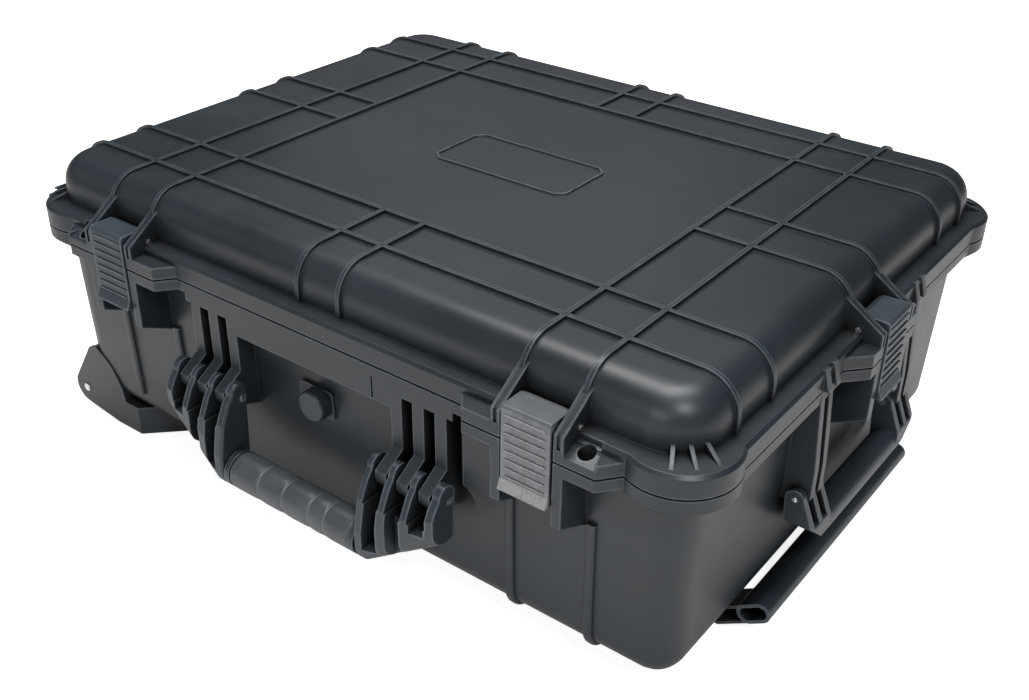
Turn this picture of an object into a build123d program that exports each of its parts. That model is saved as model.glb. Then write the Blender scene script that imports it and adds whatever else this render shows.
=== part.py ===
from build123d import *
import math
import os

# Hard equipment case on wheels: a ribbed clam-shell case with four latches, two
# folding carry handles, a pull-out trolley handle, a purge valve and two wheels.
# Frame: millimetres, +Z up, ground at Z 0. +X is the trolley end, -X the wheel
# end, -Y the front with the large carry handle, +Y the hinge side. The origin is
# on the ground under the middle of the case.

os.makedirs("parts", exist_ok=True)

# ------------------------------------------------------------------ driving dimensions
# Base shell
base_rib = 3.0               # height of the upright ribs
base_rib_width = 7.0
base_rib_round = 2.2
base_rib_offset = 31.0       # rib on either side of the middle of a front latch
base_rib_wrap = 69.0         # how far the ribs wrap under the base, from its front
rib_top = 134.0
wheel_rib_bottom = 48.0
base_length = 575.5          # outer walls at the rim, along X
base_width = 438.0           # outer walls at the rim, along Y
base_middle = -4.0           # middle of the base and the lid, along X
base_corner = 26.0           # plan radius of the wall corners
wall_draft = 1.65            # degrees
wall = 4.0
floor_wall = 3.5
underside = 25.0             # height of the flat underside above the ground
bottom_round = 22.0
seam_height = 190.0
seam_gap = 1.2
rim_band = 12.0              # height of the thick rim on either side of the seam
rim_wall = 9.0

# Flanges of both shells
flange_reach_x = 9.95        # flange beyond the walls, along X, shared by both ends
flange_reach_y = 13.2
flange_corner = 40.0
base_flange_height = 8.0
lid_flange_height = 15.0
bumper_radius = 37.0
bumper_inset = 33.2          # bumper centre, inwards from both flange edges
bumper_drop = 14.0           # how far the base bumpers reach below the seam

# Lid dome
dome_reach_x = 1.25          # foot of the dome beyond the base walls
dome_reach_y = 2.0
dome_middle_y = 2.0          # middle of the dome, along Y
dome_corner = 33.0
lid_rim_corner = 24.0
flange_chamfer = 2.2
corner_fin_angles = (28.0, 45.0, 62.0)
corner_fin_reach = 15.0
corner_fin_height = 6.2
corner_fin_width = 2.6
seal_width = 4.0             # gasket in the lid
seal_depth = 4.4
bead_width = 1.2             # bead on the base below the gasket
bead_height = 0.6
dome_top = 239.5
dome_round = 22.0
rib_height = 2.5
rib_width = 3.6
rib_round = 1.1
lid_rib_rows = (133.0, 176.5)
lid_centre_rib = 18.5
plate_length = 124.0         # raised outline on the lid top
plate_width = 62.0
plate_x = 3.0
plate_y = -4.5
plate_cut = 7.0
plate_bead = 1.8
plate_bead_height = 1.2

# Latch stations
front_latch_inset = 98.75    # middle of a front latch from the end of the base
post_offset = 22.5           # centre of each post and lid gusset from the latch centre
post_width = 7.0
post_reach = 26.0            # from the dome foot to the front of the posts
post_bottom = 143.5
post_slope = 12.5
knee_height = 209.0
gusset_top = 228.0
gusset_lip = -2.5            # gusset top, inwards from the dome foot
gusset_sink = 7.0
gusset_groove = 1.4          # depth of the groove along the front edge of a gusset
gusset_groove_width = 2.6
gusset_groove_foot = 3.0
pocket_back = 0.5
skirt_gap = 7.7              # skirt beside the face plate of the front bracket
skirt_knee = 130.0
skirt_bottom = 102.0
skirt_cove = 1.6              # stand-off from the wall at a third of the cove's height
boss_half = 47.8
boss_chamfer = 10.2
side_boss_half = 36.0
side_boss_chamfer = 15.0
boss_drop = 6.0              # lid bosses stop this far below the flange top
padlock_offset = 36.0        # padlock hole from the latch centre
padlock_inset = 9.0          # padlock hole from the front of the boss
padlock_radius = 5.5
padlock_pad_width = 15.25     # sloping pad around a padlock hole, back from the boss front
padlock_pad_run = 16.5       # length of its rear edge
padlock_pad_flare = 4.5
padlock_pad_drop = 4.1       # its rear edge below the top of the flange
padlock_pad_fall = 5.5

# Latch lever, hook and pins
lever_width = 35.0
lever_wall = 3.2
lever_cheek = 2.6
lever_top = 214.5
lever_bottom = 156.5
lever_face = 27.0
lip_reach = 3.4
lip_height = 8.0
lever_boss = 5.0
latch_pin_radius = 2.0
latch_pin_out = 9.0          # latch pin from the dome foot
latch_pin_height = 207.5
lever_back = 16.5            # rear edge of the lever cheeks from the dome foot
lever_top_round = 2.5
lever_top_flat = 16.5
pin_end = 0.8                # how far the pin ends stand out
ridge_count = 8
ridge_pitch = 6.2
ridge_top = 209.5
ridge_width = 29.0
ridge_height = 1.0
ridge_depth = 0.9
hook_width = 27.0
hook_plate = 3.0
hook_boss = 3.6
hook_pin_radius = 1.5
hook_pin_out = 17.5
hook_pin_height = 192.0
hook_length = 31.0
keeper_out = 12.0
keeper_depth = 6.0
keeper_bottom = 166.5
keeper_height = 7.0

# Lid hinges
hinge_out = 8.8              # hinge axis behind the rear flange face
hinge_knuckle_radius = 7.0
hinge_pin_radius = 2.5
hinge_base_width = 19.0
hinge_lid_width = 9.0
hinge_web_drop = 30.0
hinge_web_sink = 2.0

# Front carry handle
front_fin_first = 77.0
front_fin_pitch = 18.5
front_fin_width = 9.5
front_fins = 3
front_prong_width = 7.5
front_plate_rim = 9.8        # face plate beyond the middle of the outer fin
front_band_low = 164.0
front_fin_slot_top = 175.0
front_pivot_out = 20.5       # pivot in front of the base wall at the rim
front_pivot_height = 119.0
front_pin_radius = 2.5
front_knuckle_radius = 8.5
front_bar_radius = 10.0
front_grip_radius = 14.0
front_grip_length = 116.0
front_bar_drop = 52.5        # bar centre below the pivot
front_bar_out = 12.0         # bar centre in front of the pivot
handle_collar = 5.0
bracket_skin = 1.5           # bracket material around the pin beyond the knuckles
bracket_shoulder = 5.0
front_fin_knee = 135.0
front_fin_foot = 100.0
front_slot_floor = (1.0, 30.0, 30.0)   # slot floors above the bar centre
front_slant_x = 71.0         # outwards of this the underside rises
front_slant_rise = 0.64      # rise of the underside for each step outwards
front_slant_back = 0.15      # and how far the front face recedes
front_ear_radius = 7.5       # round top of the prongs
front_brow_out = 14.5         # front of the inner prong at the pivot's height
front_shoulder_out = 21.2
front_shoulder_drop = 14.0
front_knee = 103.0           # above this height the prongs are narrower
front_knee_step = 1.3
front_ear_back = 2.5
front_inner_round = 2.6        # rounded inner face of each handle end
front_ear_rise = 5.5
band_wall = 3.5
slit_x = 56.5
slit_width = 1.4
slit_depth = 1.2
slit_margin = 1.4

# Carry handle on the +X end
side_fin_first = 67.0
side_fin_pitch = 12.0
side_fin_width = 5.6
side_prong_width = 4.8
side_pivot_out = 9.75        # pivot outside the base wall at the rim
side_pivot_height = 107.0
side_pin_radius = 2.0
side_knuckle_radius = 7.0
side_bar_radius = 10.5
side_bar_drop = 32.0
side_bar_out = 5.5
side_lug_height = 15.0
side_bracket_skin = 1.5
side_fin_knee = 130.0
side_fin_foot = (20.0, 7.0)  # how far each fin's foot lies below the pivot
side_slot_floor = 12.0
side_slant_rise = 14.0

# Purge valve
valve_x = -6.0
valve_pad_x = -8.75
valve_flange_radius = 10.0
valve_flange_thick = 2.5
valve_spigot_radius = 2.5
valve_knob_skin = 1.4
valve_knob_wall = 2.0
valve_knob_chamfer = 1.2
valve_flute_radius = 0.7
valve_flute_out = 0.2
valve_room = 8.0             # depth of the foam notch behind the valve
valve_height = 130.0
valve_pad_length = 32.0
valve_pad_height = 23.0
valve_pad_thick = 1.3
valve_pad_corner = 3.5
valve_stem_radius = 5.0
valve_knob_radius = 11.8
valve_knob_depth = 9.0
valve_flutes = 36
valve_nut_size = 15.0
valve_nut_thick = 3.0
valve_seal_thick = 1.5

# Wheels
wheel_out = 6.25             # axle beyond the end wall of the base
wheel_height = 23.0
wheel_radius = 22.0
wheel_width = 27.0
tyre_thick = 5.0
wheel_bore = 4.0
axle_radius = 3.0
well_radius = 54.0
bracket_radius = 53.0
bracket_wall = 4.0
bracket_inset = 2.5          # outer face of the outer cheek inside the side wall
bracket_room = 42.5          # space between the two cheeks
bracket_top = 28.8           # top of the tail
bracket_sweep = 66.0         # degrees that the curved web reaches up around the axle
bracket_crest = 13.0         # outer top corner, from the axle
bracket_crest_height = 68.0
bracket_nose = 14.5
bracket_keel = 3.0
bracket_keel_run = 38.0      # keel and tail, from the axle
bracket_tail_run = 68.0
bracket_tail_slope = 1.0
axle_head = 3.6
hub_rim = 2.5
hub_disc = 4.0
hub_boss = 7.0
tyre_chamfer = 1.5

# Trolley handle
arm_row = 107.0
arm_width = 22.0
arm_height = 14.0
arm_low = 3.0
arm_web = 3.0
arm_bend_inset = 20.75       # bend of the arms inside the end wall
arm_rise = 32.0              # degrees
arm_tail_inset = 40.0        # rear end of the arms inside the guide
trolley_bar_out = 5.75       # bar beyond the end wall
trolley_bar_width = 26.0
trolley_bar_height = 15.0
guide_start_run = 108.0      # start of the guide from the wheel axle
guide_end_gap = 13.0         # end of the guide before the bend of the arms
guide_wall = 3.0
guide_floor = 2.5
guide_foot_width = 9.0
guide_strap_width = 34.0
guide_screw_inset = 30.0
guide_screws = 4
arm_lip = 2.0
arm_tail_block = 12.0
bar_wall = 2.6

# Screws
screw_radius = 2.1           # clearance hole
screw_core = 1.9
screw_length = 7.5
screw_head = 3.6
screw_head_height = 2.0
screw_boss_radius = 4.5
screw_boss_depth = 6.0
screw_boss_cap = 1.5         # material above the end of a screw hole
bracket_screw_ring = 37.0
bracket_screw_angles = (10.0, 42.0, 74.0)

# Foam
foam_gap = 0.6
foam_top = 186.0
foam_round = 22.0
foam_corner = 24.0
lid_foam_corner = 28.0
pad_top = 50.0
laptop_length = 390.0
laptop_width = 280.0
laptop_depth = 56.0
charger_length = 64.0
charger_depth = 96.0
charger_margin = 20.15       # foam between the charger pocket and the end of the tray
pocket_wall = 20.0           # foam between the two pockets
lid_foam_low = 192.0

# Clearances
running = 0.05               # radial clearance of a pin in its hole
play = 0.4                   # gap between pieces that pass each other
seal_gap = 0.3

# ------------------------------------------------------------------ derived places
side_fin_rows = (side_fin_first, side_fin_first + side_fin_pitch)
base_top = seam_height - seam_gap / 2
lid_bottom = seam_height + seam_gap / 2
lid_flange_top = lid_bottom + lid_flange_height
flange_length = base_length + 2 * flange_reach_x
flange_width = base_width + 2 * flange_reach_y
dome_length = base_length + 2 * dome_reach_x
dome_width = base_width + 2 * dome_reach_y
base_end = base_middle + base_length / 2
base_start = base_middle - base_length / 2
front_foot = dome_width / 2 - dome_middle_y
right_foot = base_end + dome_reach_x
left_foot = -base_start + dome_reach_x
front_latch_x = base_length / 2 - front_latch_inset
front_plate_end = front_fin_first + (front_fins - 1) * front_fin_pitch + front_plate_rim
skirt_start = front_plate_end + skirt_gap
hinge_y = flange_width / 2 + hinge_out
front_pivot_y = -(base_width / 2 + front_pivot_out)
front_bar_y = front_pivot_y - front_bar_out
front_bar_z = front_pivot_height - front_bar_drop
side_pivot_x = base_end + side_pivot_out
side_bar_x = side_pivot_x + side_bar_out
side_bar_z = side_pivot_height - side_bar_drop
wheel_x = base_start - wheel_out
bracket_face = base_width / 2 - bracket_inset
bracket_inner = bracket_face - bracket_wall - bracket_room
well_inner = bracket_inner - bracket_wall
arm_bend_x = base_end - arm_bend_inset
trolley_bar_x = base_end + trolley_bar_out
guide_start_x = wheel_x + guide_start_run
guide_end_x = arm_bend_x - guide_end_gap
arm_tail_x = guide_start_x + arm_tail_inset
boss_top = underside + screw_length + screw_boss_cap
foam_low = boss_top + seal_gap
charger_x = base_end - rim_wall - charger_margin - charger_length / 2
laptop_x = charger_x - charger_length / 2 - pocket_wall - laptop_length / 2
arm_mid = arm_low + arm_height / 2
arm_top = arm_low + arm_height
groove_half = arm_width / 2 + play
groove_top = arm_top + play
ridge_half = groove_half + wall

dome_place = Pos(base_middle, dome_middle_y, 0)
latch_stations = {
    "front_left": Pos(-front_latch_x, -front_foot, 0),
    "front_right": Pos(front_latch_x, -front_foot, 0),
    "side_left": Pos(-left_foot, 0, 0) * Rot(0, 0, -90),
    "side_right": Pos(right_foot, 0, 0) * Rot(0, 0, 90),
}
station_feet = {
    "front_left": front_foot,
    "front_right": front_foot,
    "side_left": left_foot,
    "side_right": right_foot,
}


# ------------------------------------------------------------------ small helpers
def rounded_block(length, width, corner, low, high):
    """Upright block with round plan corners."""
    outline = Plane.XY.offset(low) * RectangleRounded(length, width, corner)
    return extrude(outline, high - low)


def box_between(x0, x1, y0, y1, z0, z1):
    """Box from its lowest to its highest corner."""
    centre = ((x0 + x1) / 2, (y0 + y1) / 2, (z0 + z1) / 2)
    return Pos(*centre) * Box(abs(x1 - x0), abs(y1 - y0), abs(z1 - z0))


def side_profile(points, width):
    """Solid with a profile in the Y-Z plane, centred on X 0."""
    outline = make_face(Polyline(*points, close=True))
    return extrude(Plane.YZ * outline, width / 2, both=True)


def end_profile(points, y0, y1):
    """Solid with a profile in the X-Z plane between two places on Y."""
    outline = make_face(Polyline(*points, close=True))
    return extrude(Plane.XZ.offset(-y1) * outline, y1 - y0)


def rod_x(radius, x0, x1, y, z):
    """Round rod along X."""
    return Pos((x0 + x1) / 2, y, z) * Rot(0, 90, 0) * Cylinder(radius, x1 - x0)


def rod_y(radius, y0, y1, x, z):
    """Round rod along Y."""
    return Pos(x, (y0 + y1) / 2, z) * Rot(90, 0, 0) * Cylinder(radius, y1 - y0)


def mirrored_x(shape):
    return mirror(shape, Plane.YZ)


def mirrored_y(shape):
    return mirror(shape, Plane.XZ)


def write(node, shape):
    export_step(shape, f"parts/{node}.step")


def group(shapes):
    return Compound(children=list(shapes))


# ------------------------------------------------------------------ base shell
def drafted_form(length, width, corner, high, low, edge):
    """Solid that narrows downwards with the wall draft and has a round bottom edge."""
    outline = Plane.XY.offset(high) * RectangleRounded(length, width, corner)
    form = extrude(outline, -(high - low), taper=wall_draft)
    bottom = form.faces().sort_by(Axis.Z)[0]
    return fillet(bottom.edges(), edge)


def base_form(grow):
    """Outer form of the base, grown outwards by a distance on every side."""
    length = base_length + 2 * grow
    width = base_width + 2 * grow
    low = underside - grow
    form = drafted_form(length, width, base_corner + grow, base_top, low, bottom_round + grow)
    return Pos(base_middle, 0, 0) * form


def base_cavity_form():
    """Inside of the base without the wheel housings and the arm ridges."""
    length = base_length - 2 * wall
    width = base_width - 2 * wall
    low = underside + floor_wall
    form = drafted_form(length, width, base_corner - wall, base_top, low, bottom_round - wall)
    rim = base_top - rim_band
    band = rounded_block(base_length, base_width, base_corner, rim, base_top)
    return Pos(base_middle, 0, 0) * (form - band)


def rim_opening(low, high, corner):
    """Opening inside the thick rim of either shell."""
    length = base_length - 2 * rim_wall
    width = base_width - 2 * rim_wall
    return Pos(base_middle, 0, 0) * rounded_block(length, width, corner, low, high)


def flange_outline(low, high):
    """Flange plate that both shells share: a rectangle with round corner bumpers."""
    plate = rounded_block(flange_length, flange_width, flange_corner, low, high)
    bumper_x = flange_length / 2 - bumper_inset
    bumper_y = flange_width / 2 - bumper_inset
    for x in (-bumper_x, bumper_x):
        for y in (-bumper_y, bumper_y):
            plate += Pos(x, y, (low + high) / 2) * Cylinder(bumper_radius, high - low)
    return plate


def corner_bumpers():
    """Deeper round corners below the base flange, faded into the wall."""
    bumper_x = flange_length / 2 - bumper_inset
    bumper_y = flange_width / 2 - bumper_inset
    low = base_top - bumper_drop
    shapes = []
    for x in (-bumper_x, bumper_x):
        for y in (-bumper_y, bumper_y):
            disc = Pos(x, y, (low + base_top) / 2) * Cylinder(bumper_radius, bumper_drop)
            shapes.append(chamfer(disc.faces().sort_by(Axis.Z)[0].edges(), bumper_drop / 3))
    return shapes


def boss_outline(half, taper_out, flange_local, low, high):
    """Boss around a latch in the latch frame, from the wall out to the posts."""
    points = [
        (-half - taper_out, 0),
        (-half - taper_out, -flange_local),
        (-half, -post_reach),
        (half, -post_reach),
        (half + taper_out, -flange_local),
        (half + taper_out, 0),
    ]
    outline = Plane.XY.offset(low) * make_face(Polyline(*points, close=True))
    return extrude(outline, high - low)


def boss_for(station, low, high):
    """Boss of one latch station, in the part frame."""
    foot = station_feet[station]
    if station.startswith("front"):
        flange_local = flange_width / 2 - foot
        boss = boss_outline(boss_half, boss_chamfer, flange_local, low, high)
    else:
        flange_local = flange_length / 2 - foot
        boss = boss_outline(side_boss_half, side_boss_chamfer, flange_local, low, high)
    return latch_stations[station] * boss


def latch_pocket(low, high):
    """Space of one latch between its posts, in the latch frame."""
    half = post_offset - post_width / 2
    return box_between(-half, half, -2 * post_reach, -pocket_back, low, high)


def wall_local(station):
    """How far the base wall lies behind the dome foot at one station."""
    if station.startswith("front"):
        return front_foot - base_width / 2
    return dome_reach_x


def latch_posts(station):
    """Two posts and the keeper bar of one latch on the base, in the part frame."""
    sunk = wall_local(station) + wall - 1.0
    run = post_reach + sunk
    wall_low = post_bottom - run * post_slope / post_reach
    points = [
        (sunk, base_top),
        (-post_reach, base_top),
        (-post_reach, post_bottom),
        (sunk, wall_low),
    ]
    post = side_profile(points, post_width)
    shapes = [latch_stations[station] * Pos(x, 0, 0) * post for x in (-post_offset, post_offset)]
    keeper = box_between(
        -post_offset, post_offset, -keeper_out, keeper_depth - keeper_out,
        keeper_bottom, keeper_bottom + keeper_height,
    )
    shapes.append(latch_stations[station] * keeper)
    return shapes


def padlock_holes(low, high):
    """Padlock holes on the outer side of the two front latches."""
    y = -(front_foot + post_reach - padlock_inset)
    holes = []
    for x in (-(front_latch_x + padlock_offset), front_latch_x + padlock_offset):
        holes.append(Pos(x, y, (low + high) / 2) * Cylinder(padlock_radius, high - low))
    return holes


def padlock_pads():
    """Sloping pads in the lid bosses around the two padlock holes."""
    front = -(front_foot + post_reach)
    back = front + padlock_pad_width
    high = lid_flange_top - padlock_pad_drop
    x0 = front_latch_x + post_offset + post_width / 2
    x1 = x0 + padlock_pad_run
    x2 = x1 + padlock_pad_flare
    plan = make_face(Polyline((x0, front), (x0, back), (x1, back), (x2, front), close=True))
    column = extrude(Plane.XY.offset(lid_bottom) * plan, lid_flange_height + 1)
    slope = [
        (back, high), (front, high - padlock_pad_fall),
        (front, lid_flange_top + 1), (back, lid_flange_top + 1),
    ]
    pad = column & side_profile(slope, 2 * x2)
    return [pad, mirrored_x(pad)]


def latch_skirt():
    """Closed skirt beside the right front latch, from the flange down into the wall."""
    inner = front_latch_x - post_offset
    wall_y = -base_width / 2 + wall - 1.0
    face_y = -flange_width / 2
    middle = (-base_width / 2 - skirt_cove, (skirt_knee + 2 * skirt_bottom) / 3)
    outline = (
        Polyline((wall_y, skirt_bottom), (wall_y, base_top), (face_y, base_top),
                 (face_y, skirt_knee))
        + ThreePointArc((face_y, skirt_knee), middle, (-base_width / 2 + wall / 2, skirt_bottom))
        + Line((-base_width / 2 + wall / 2, skirt_bottom), (wall_y, skirt_bottom))
    )
    half = (inner - skirt_start) / 2
    skirt = Pos(skirt_start + half, 0, 0) * extrude(Plane.YZ * make_face(outline), half, both=True)
    below = [
        (skirt_start, skirt_bottom - 1), (inner + 1, skirt_bottom - 1), (inner + 1, post_bottom),
    ]
    return skirt - end_profile(below, -flange_width, 0)


def rounded_rib(form, x, half, y0, y1, low, radius):
    """Rib of a grown base form at one X, its outer edges rounded."""
    rib = (form & box_between(x - half, x + half, y0, y1, low, rib_top)).solids()[0]
    root = min(abs(y0), abs(y1)) + 1
    edges = []
    for edge in rib.edges():
        spot = edge.center()
        if abs(abs(spot.X - x) - half) < 0.01 and abs(spot.Y) > root:
            if low + 1 < spot.Z < rib_top - 1:
                edges.append(edge)
    return fillet(edges, radius)


def base_ribs():
    """Upright ribs on the front and rear walls that wrap under the base."""
    form = base_form(base_rib)
    ribs = []
    reach = flange_width / 2
    inner = base_width / 2 - base_rib_wrap
    half = base_rib_width / 2
    first = front_latch_x - base_rib_offset
    last = front_latch_x + base_rib_offset
    for x in (-last, -first, first, last):
        for side in (-1, 1):
            low = wheel_rib_bottom if x < -front_latch_x else 0
            y0, y1 = sorted((side * inner, side * reach))
            ribs.append(rounded_rib(form, x, half, y0, y1, low, base_rib_round))
    return ribs


def front_fin_columns():
    """X of the fins of one front bracket, from the middle outwards."""
    return [front_fin_first + front_fin_pitch * index for index in range(front_fins)]


def front_bracket(side):
    """Fins and face plate that carry one end of the front handle."""
    face_y = -flange_width / 2
    wall_y = -base_width / 2 + wall - 1.0
    pivot_reach = front_knuckle_radius + bracket_skin
    fin_points = [
        (wall_y, base_top),
        (face_y, base_top),
        (face_y, front_fin_knee),
        (front_pivot_y - pivot_reach, front_pivot_height + bracket_shoulder),
        (front_pivot_y - pivot_reach, front_pivot_height),
    ]
    lower = [
        (front_pivot_y, front_pivot_height - pivot_reach),
        (wall_y, front_fin_foot),
    ]
    curve = ThreePointArc(
        fin_points[-1],
        (front_pivot_y - pivot_reach * math.sin(math.pi / 4),
         front_pivot_height - pivot_reach * math.sin(math.pi / 4)),
        lower[0],
    )
    outline = Polyline(*fin_points) + curve + Polyline(lower[0], lower[1], fin_points[0])
    fin = extrude(Plane.YZ * make_face(outline), front_fin_width / 2, both=True)
    shapes = [Pos(side * x, 0, 0) * fin for x in front_fin_columns()]
    inner_x = side * (front_fin_first - front_fin_width / 2)
    outer_x = side * front_plate_end
    x0, x1 = sorted((inner_x, outer_x))
    shapes.append(box_between(x0, x1, face_y, wall_y, front_fin_slot_top, base_top))
    bore = rod_x(front_pin_radius + running, x0 - 1, x1 + 1, front_pivot_y, front_pivot_height)
    return [shape - bore for shape in shapes]


def front_band():
    """Face plate between the two front brackets, hanging from the flange."""
    face_y = -flange_width / 2
    half = front_fin_first
    plate = box_between(-half, half, face_y, face_y + band_wall, front_band_low, base_top)
    slit_high = base_top - slit_margin
    slit_low = front_band_low + slit_margin
    x0 = slit_x - slit_width / 2
    slit = box_between(x0, x0 + slit_width, face_y, face_y + slit_depth, slit_low, slit_high)
    return plate - slit


def side_bracket(side):
    """Fins on the +X wall that carry one end of the end handle."""
    wall_x = base_end - wall + 1.0
    reach = side_knuckle_radius + side_bracket_skin
    shapes = []
    for row, y in enumerate(side_fin_rows):
        foot = side_pivot_height - side_fin_foot[row]
        points = [
            (wall_x, base_top),
            (flange_length / 2, base_top),
            (side_pivot_x + reach, side_fin_knee),
            (side_pivot_x + reach, side_pivot_height),
            (side_pivot_x + side_knuckle_radius / 2, side_pivot_height - reach),
            (wall_x, foot),
        ]
        y0 = side * y - side_fin_width / 2
        fin = end_profile(points, y0, y0 + side_fin_width)
        bore = rod_y(side_pin_radius + running, y0 - 1, y0 + side_fin_width + 1,
                     side_pivot_x, side_pivot_height)
        shapes.append(fin - bore)
    return shapes


def wheel_wells(radius, inner, outer):
    """Cylinders about the axle at both sides of the case."""
    return [
        rod_y(radius, inner, outer, wheel_x, wheel_height),
        rod_y(radius, -outer, -inner, wheel_x, wheel_height),
    ]


def arm_path(grow, tail):
    """Side outline of one trolley arm, grown by a clearance on every side."""
    low = arm_low - grow
    high = arm_top + grow
    slope = math.radians(arm_rise)
    half = arm_height / 2 + grow
    end_x = trolley_bar_x + grow * math.cos(slope)
    end_z = arm_mid + (end_x - arm_bend_x) * math.tan(slope)
    along = (math.sin(slope) * half, math.cos(slope) * half)
    inner_turn = half * math.tan(slope / 2)
    points = [
        (tail, low),
        (arm_bend_x + inner_turn, low),
        (end_x + along[0], end_z - along[1]),
        (end_x - along[0], end_z + along[1]),
        (arm_bend_x - inner_turn, high),
        (tail, high),
    ]
    return points


def arm_grooves(grow, half, tail):
    """Spaces under the base that the two trolley arms run in."""
    points = arm_path(grow, tail)
    return [
        end_profile(points, arm_row - half, arm_row + half),
        end_profile(points, -arm_row - half, -arm_row + half),
    ]


def foot_bosses():
    """Places of the guide screws: X and Y of each screw."""
    rows = (arm_row - groove_half - guide_wall - guide_foot_width / 2,
            arm_row + groove_half + guide_wall + guide_foot_width / 2)
    first = guide_start_x + guide_screw_inset
    step = (guide_end_x - guide_screw_inset - first) / (guide_screws - 1)
    spots = []
    for x in (first + step * index for index in range(guide_screws)):
        for row in rows:
            spots.append((x, row))
            spots.append((x, -row))
    return spots


def bracket_screw_spots():
    """Angle, X and Z of the screws of a wheel bracket around its axle."""
    spots = []
    for angle in bracket_screw_angles:
        turn = math.radians(angle)
        spots.append((wheel_x + bracket_screw_ring * math.cos(turn),
                      wheel_height + bracket_screw_ring * math.sin(turn)))
    return spots


def seal_line(width, low, high):
    """Ring of a given width that runs along the middle of the rim."""
    length = base_length - rim_wall
    depth = base_width - rim_wall
    corner = base_corner - rim_wall / 2
    outer = rounded_block(length + width, depth + width, corner + width / 2, low, high)
    inner = rounded_block(length - width, depth - width, corner - width / 2, low, high)
    return Pos(base_middle, 0, 0) * (outer - inner)


def hinge_base_web(x):
    """Base knuckle of one hinge with its web down the rear wall."""
    half = hinge_base_width / 2
    wall_y = base_width / 2 - wall + 1.0
    points = [
        (wall_y, base_top),
        (hinge_y, base_top),
        (hinge_y + hinge_knuckle_radius, seam_height),
        (hinge_y + hinge_knuckle_radius / 2, seam_height - hinge_knuckle_radius),
        (wall_y, seam_height - hinge_web_drop),
    ]
    web = side_profile(points, hinge_base_width)
    knuckle = rod_x(hinge_knuckle_radius, -half, half, hinge_y, seam_height)
    bore = rod_x(hinge_pin_radius + running, -half - 1, half + 1, hinge_y, seam_height)
    return Pos(x, 0, 0) * (web + knuckle - bore)


def make_base_shell():
    """Base: drafted box with flange, latch posts, brackets, wells and hinge knuckles."""
    solid = base_form(0)
    solid += flange_outline(base_top - base_flange_height, base_top)
    for bumper in corner_bumpers():
        solid += bumper
    for station in latch_stations:
        solid += boss_for(station, base_top - base_flange_height, base_top)
    for station, place in latch_stations.items():
        solid -= place * latch_pocket(underside, base_top + 1)
    for rib in base_ribs():
        solid += rib
    for station in latch_stations:
        for shape in latch_posts(station):
            solid += shape
    solid += latch_skirt()
    solid += front_band()
    for side in (-1, 1):
        for shape in front_bracket(side) + side_bracket(side):
            solid += shape
    pad_face = -(base_width / 2 + valve_pad_thick)
    pad = RectangleRounded(valve_pad_length, valve_pad_height, valve_pad_corner)
    pad_plane = Plane.XZ.offset(-pad_face) * Pos(valve_pad_x, valve_height)
    solid += extrude(pad_plane * pad, pad_face + base_width / 2 - wall + 1)
    for x in (-front_latch_x, front_latch_x):
        solid += hinge_base_web(x)

    cavity = base_cavity_form()
    cavity += rim_opening(base_top - rim_band - 1, base_top + 1, base_corner - rim_wall)
    for housing in wheel_wells(well_radius + wall, well_inner - wall, flange_width):
        cavity -= housing
    for ridge in arm_grooves(play + floor_wall, ridge_half, arm_tail_x - floor_wall - play):
        cavity -= ridge
    for x, y in foot_bosses():
        cavity -= Pos(x, y, boss_top / 2) * Cylinder(screw_boss_radius, boss_top)
    for x, z in bracket_screw_spots():
        for side in (-1, 1):
            y0, y1 = sorted((side * (well_inner - screw_boss_depth), side * well_inner))
            cavity -= rod_y(screw_boss_radius, y0, y1, x, z)
    solid -= cavity

    for well in wheel_wells(well_radius, well_inner, flange_width):
        solid -= well
    for groove in arm_grooves(play, groove_half, arm_tail_x - play):
        solid -= groove
    for x, y in foot_bosses():
        solid -= Pos(x, y, underside + screw_length / 2) * Cylinder(screw_core, screw_length)
    for x, z in bracket_screw_spots():
        for side in (-1, 1):
            y0, y1 = sorted((side * (well_inner - screw_length), side * well_inner))
            solid -= rod_y(screw_core, y0, y1, x, z)
    for hole in padlock_holes(seam_height - 3 * base_flange_height, base_top + 1):
        solid -= hole
    solid -= rod_y(valve_stem_radius + running, pad_face - 1, -base_width / 4,
                   valve_x, valve_height)
    solid += seal_line(bead_width, base_top - 1, base_top + bead_height)
    return solid


# ------------------------------------------------------------------ lid
def dome_form(grow):
    """Outer form of the lid, grown outwards by a distance."""
    form = rounded_block(
        dome_length + 2 * grow, dome_width + 2 * grow, dome_corner + grow,
        lid_bottom, dome_top + grow,
    )
    top = form.faces().sort_by(Axis.Z)[-1]
    return dome_place * fillet(top.edges(), dome_round + grow)


def lid_ribs():
    """Raised ribs over the lid, as strips of the grown dome."""
    form = dome_form(rib_height)
    half = rib_width / 2
    long_reach = dome_length
    wide_reach = dome_width
    low = lid_bottom + 1
    high = dome_top + 2 * rib_height
    strips = []
    for row in lid_rib_rows:
        for y in (-row, row):
            strips.append(box_between(-long_reach, long_reach, y - half, y + half, low, high))
    for station in (-front_latch_x, front_latch_x):
        for offset in (-post_offset, post_offset):
            x = station + offset
            strips.append(box_between(x - half, x + half, -wide_reach, wide_reach, low, high))
    for x in (-lid_centre_rib, lid_centre_rib):
        for y0, y1 in ((-wide_reach, -lid_rib_rows[0]), (lid_rib_rows[0], wide_reach)):
            strips.append(box_between(x - half, x + half, y0, y1, low, high))
    inner = front_latch_x - post_offset
    for y in (-post_offset, post_offset):
        for x0, x1 in ((-long_reach, -inner), (inner, long_reach)):
            strips.append(box_between(x0, x1, y - half, y + half, low, high))
    return [form & strip for strip in strips]


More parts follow.
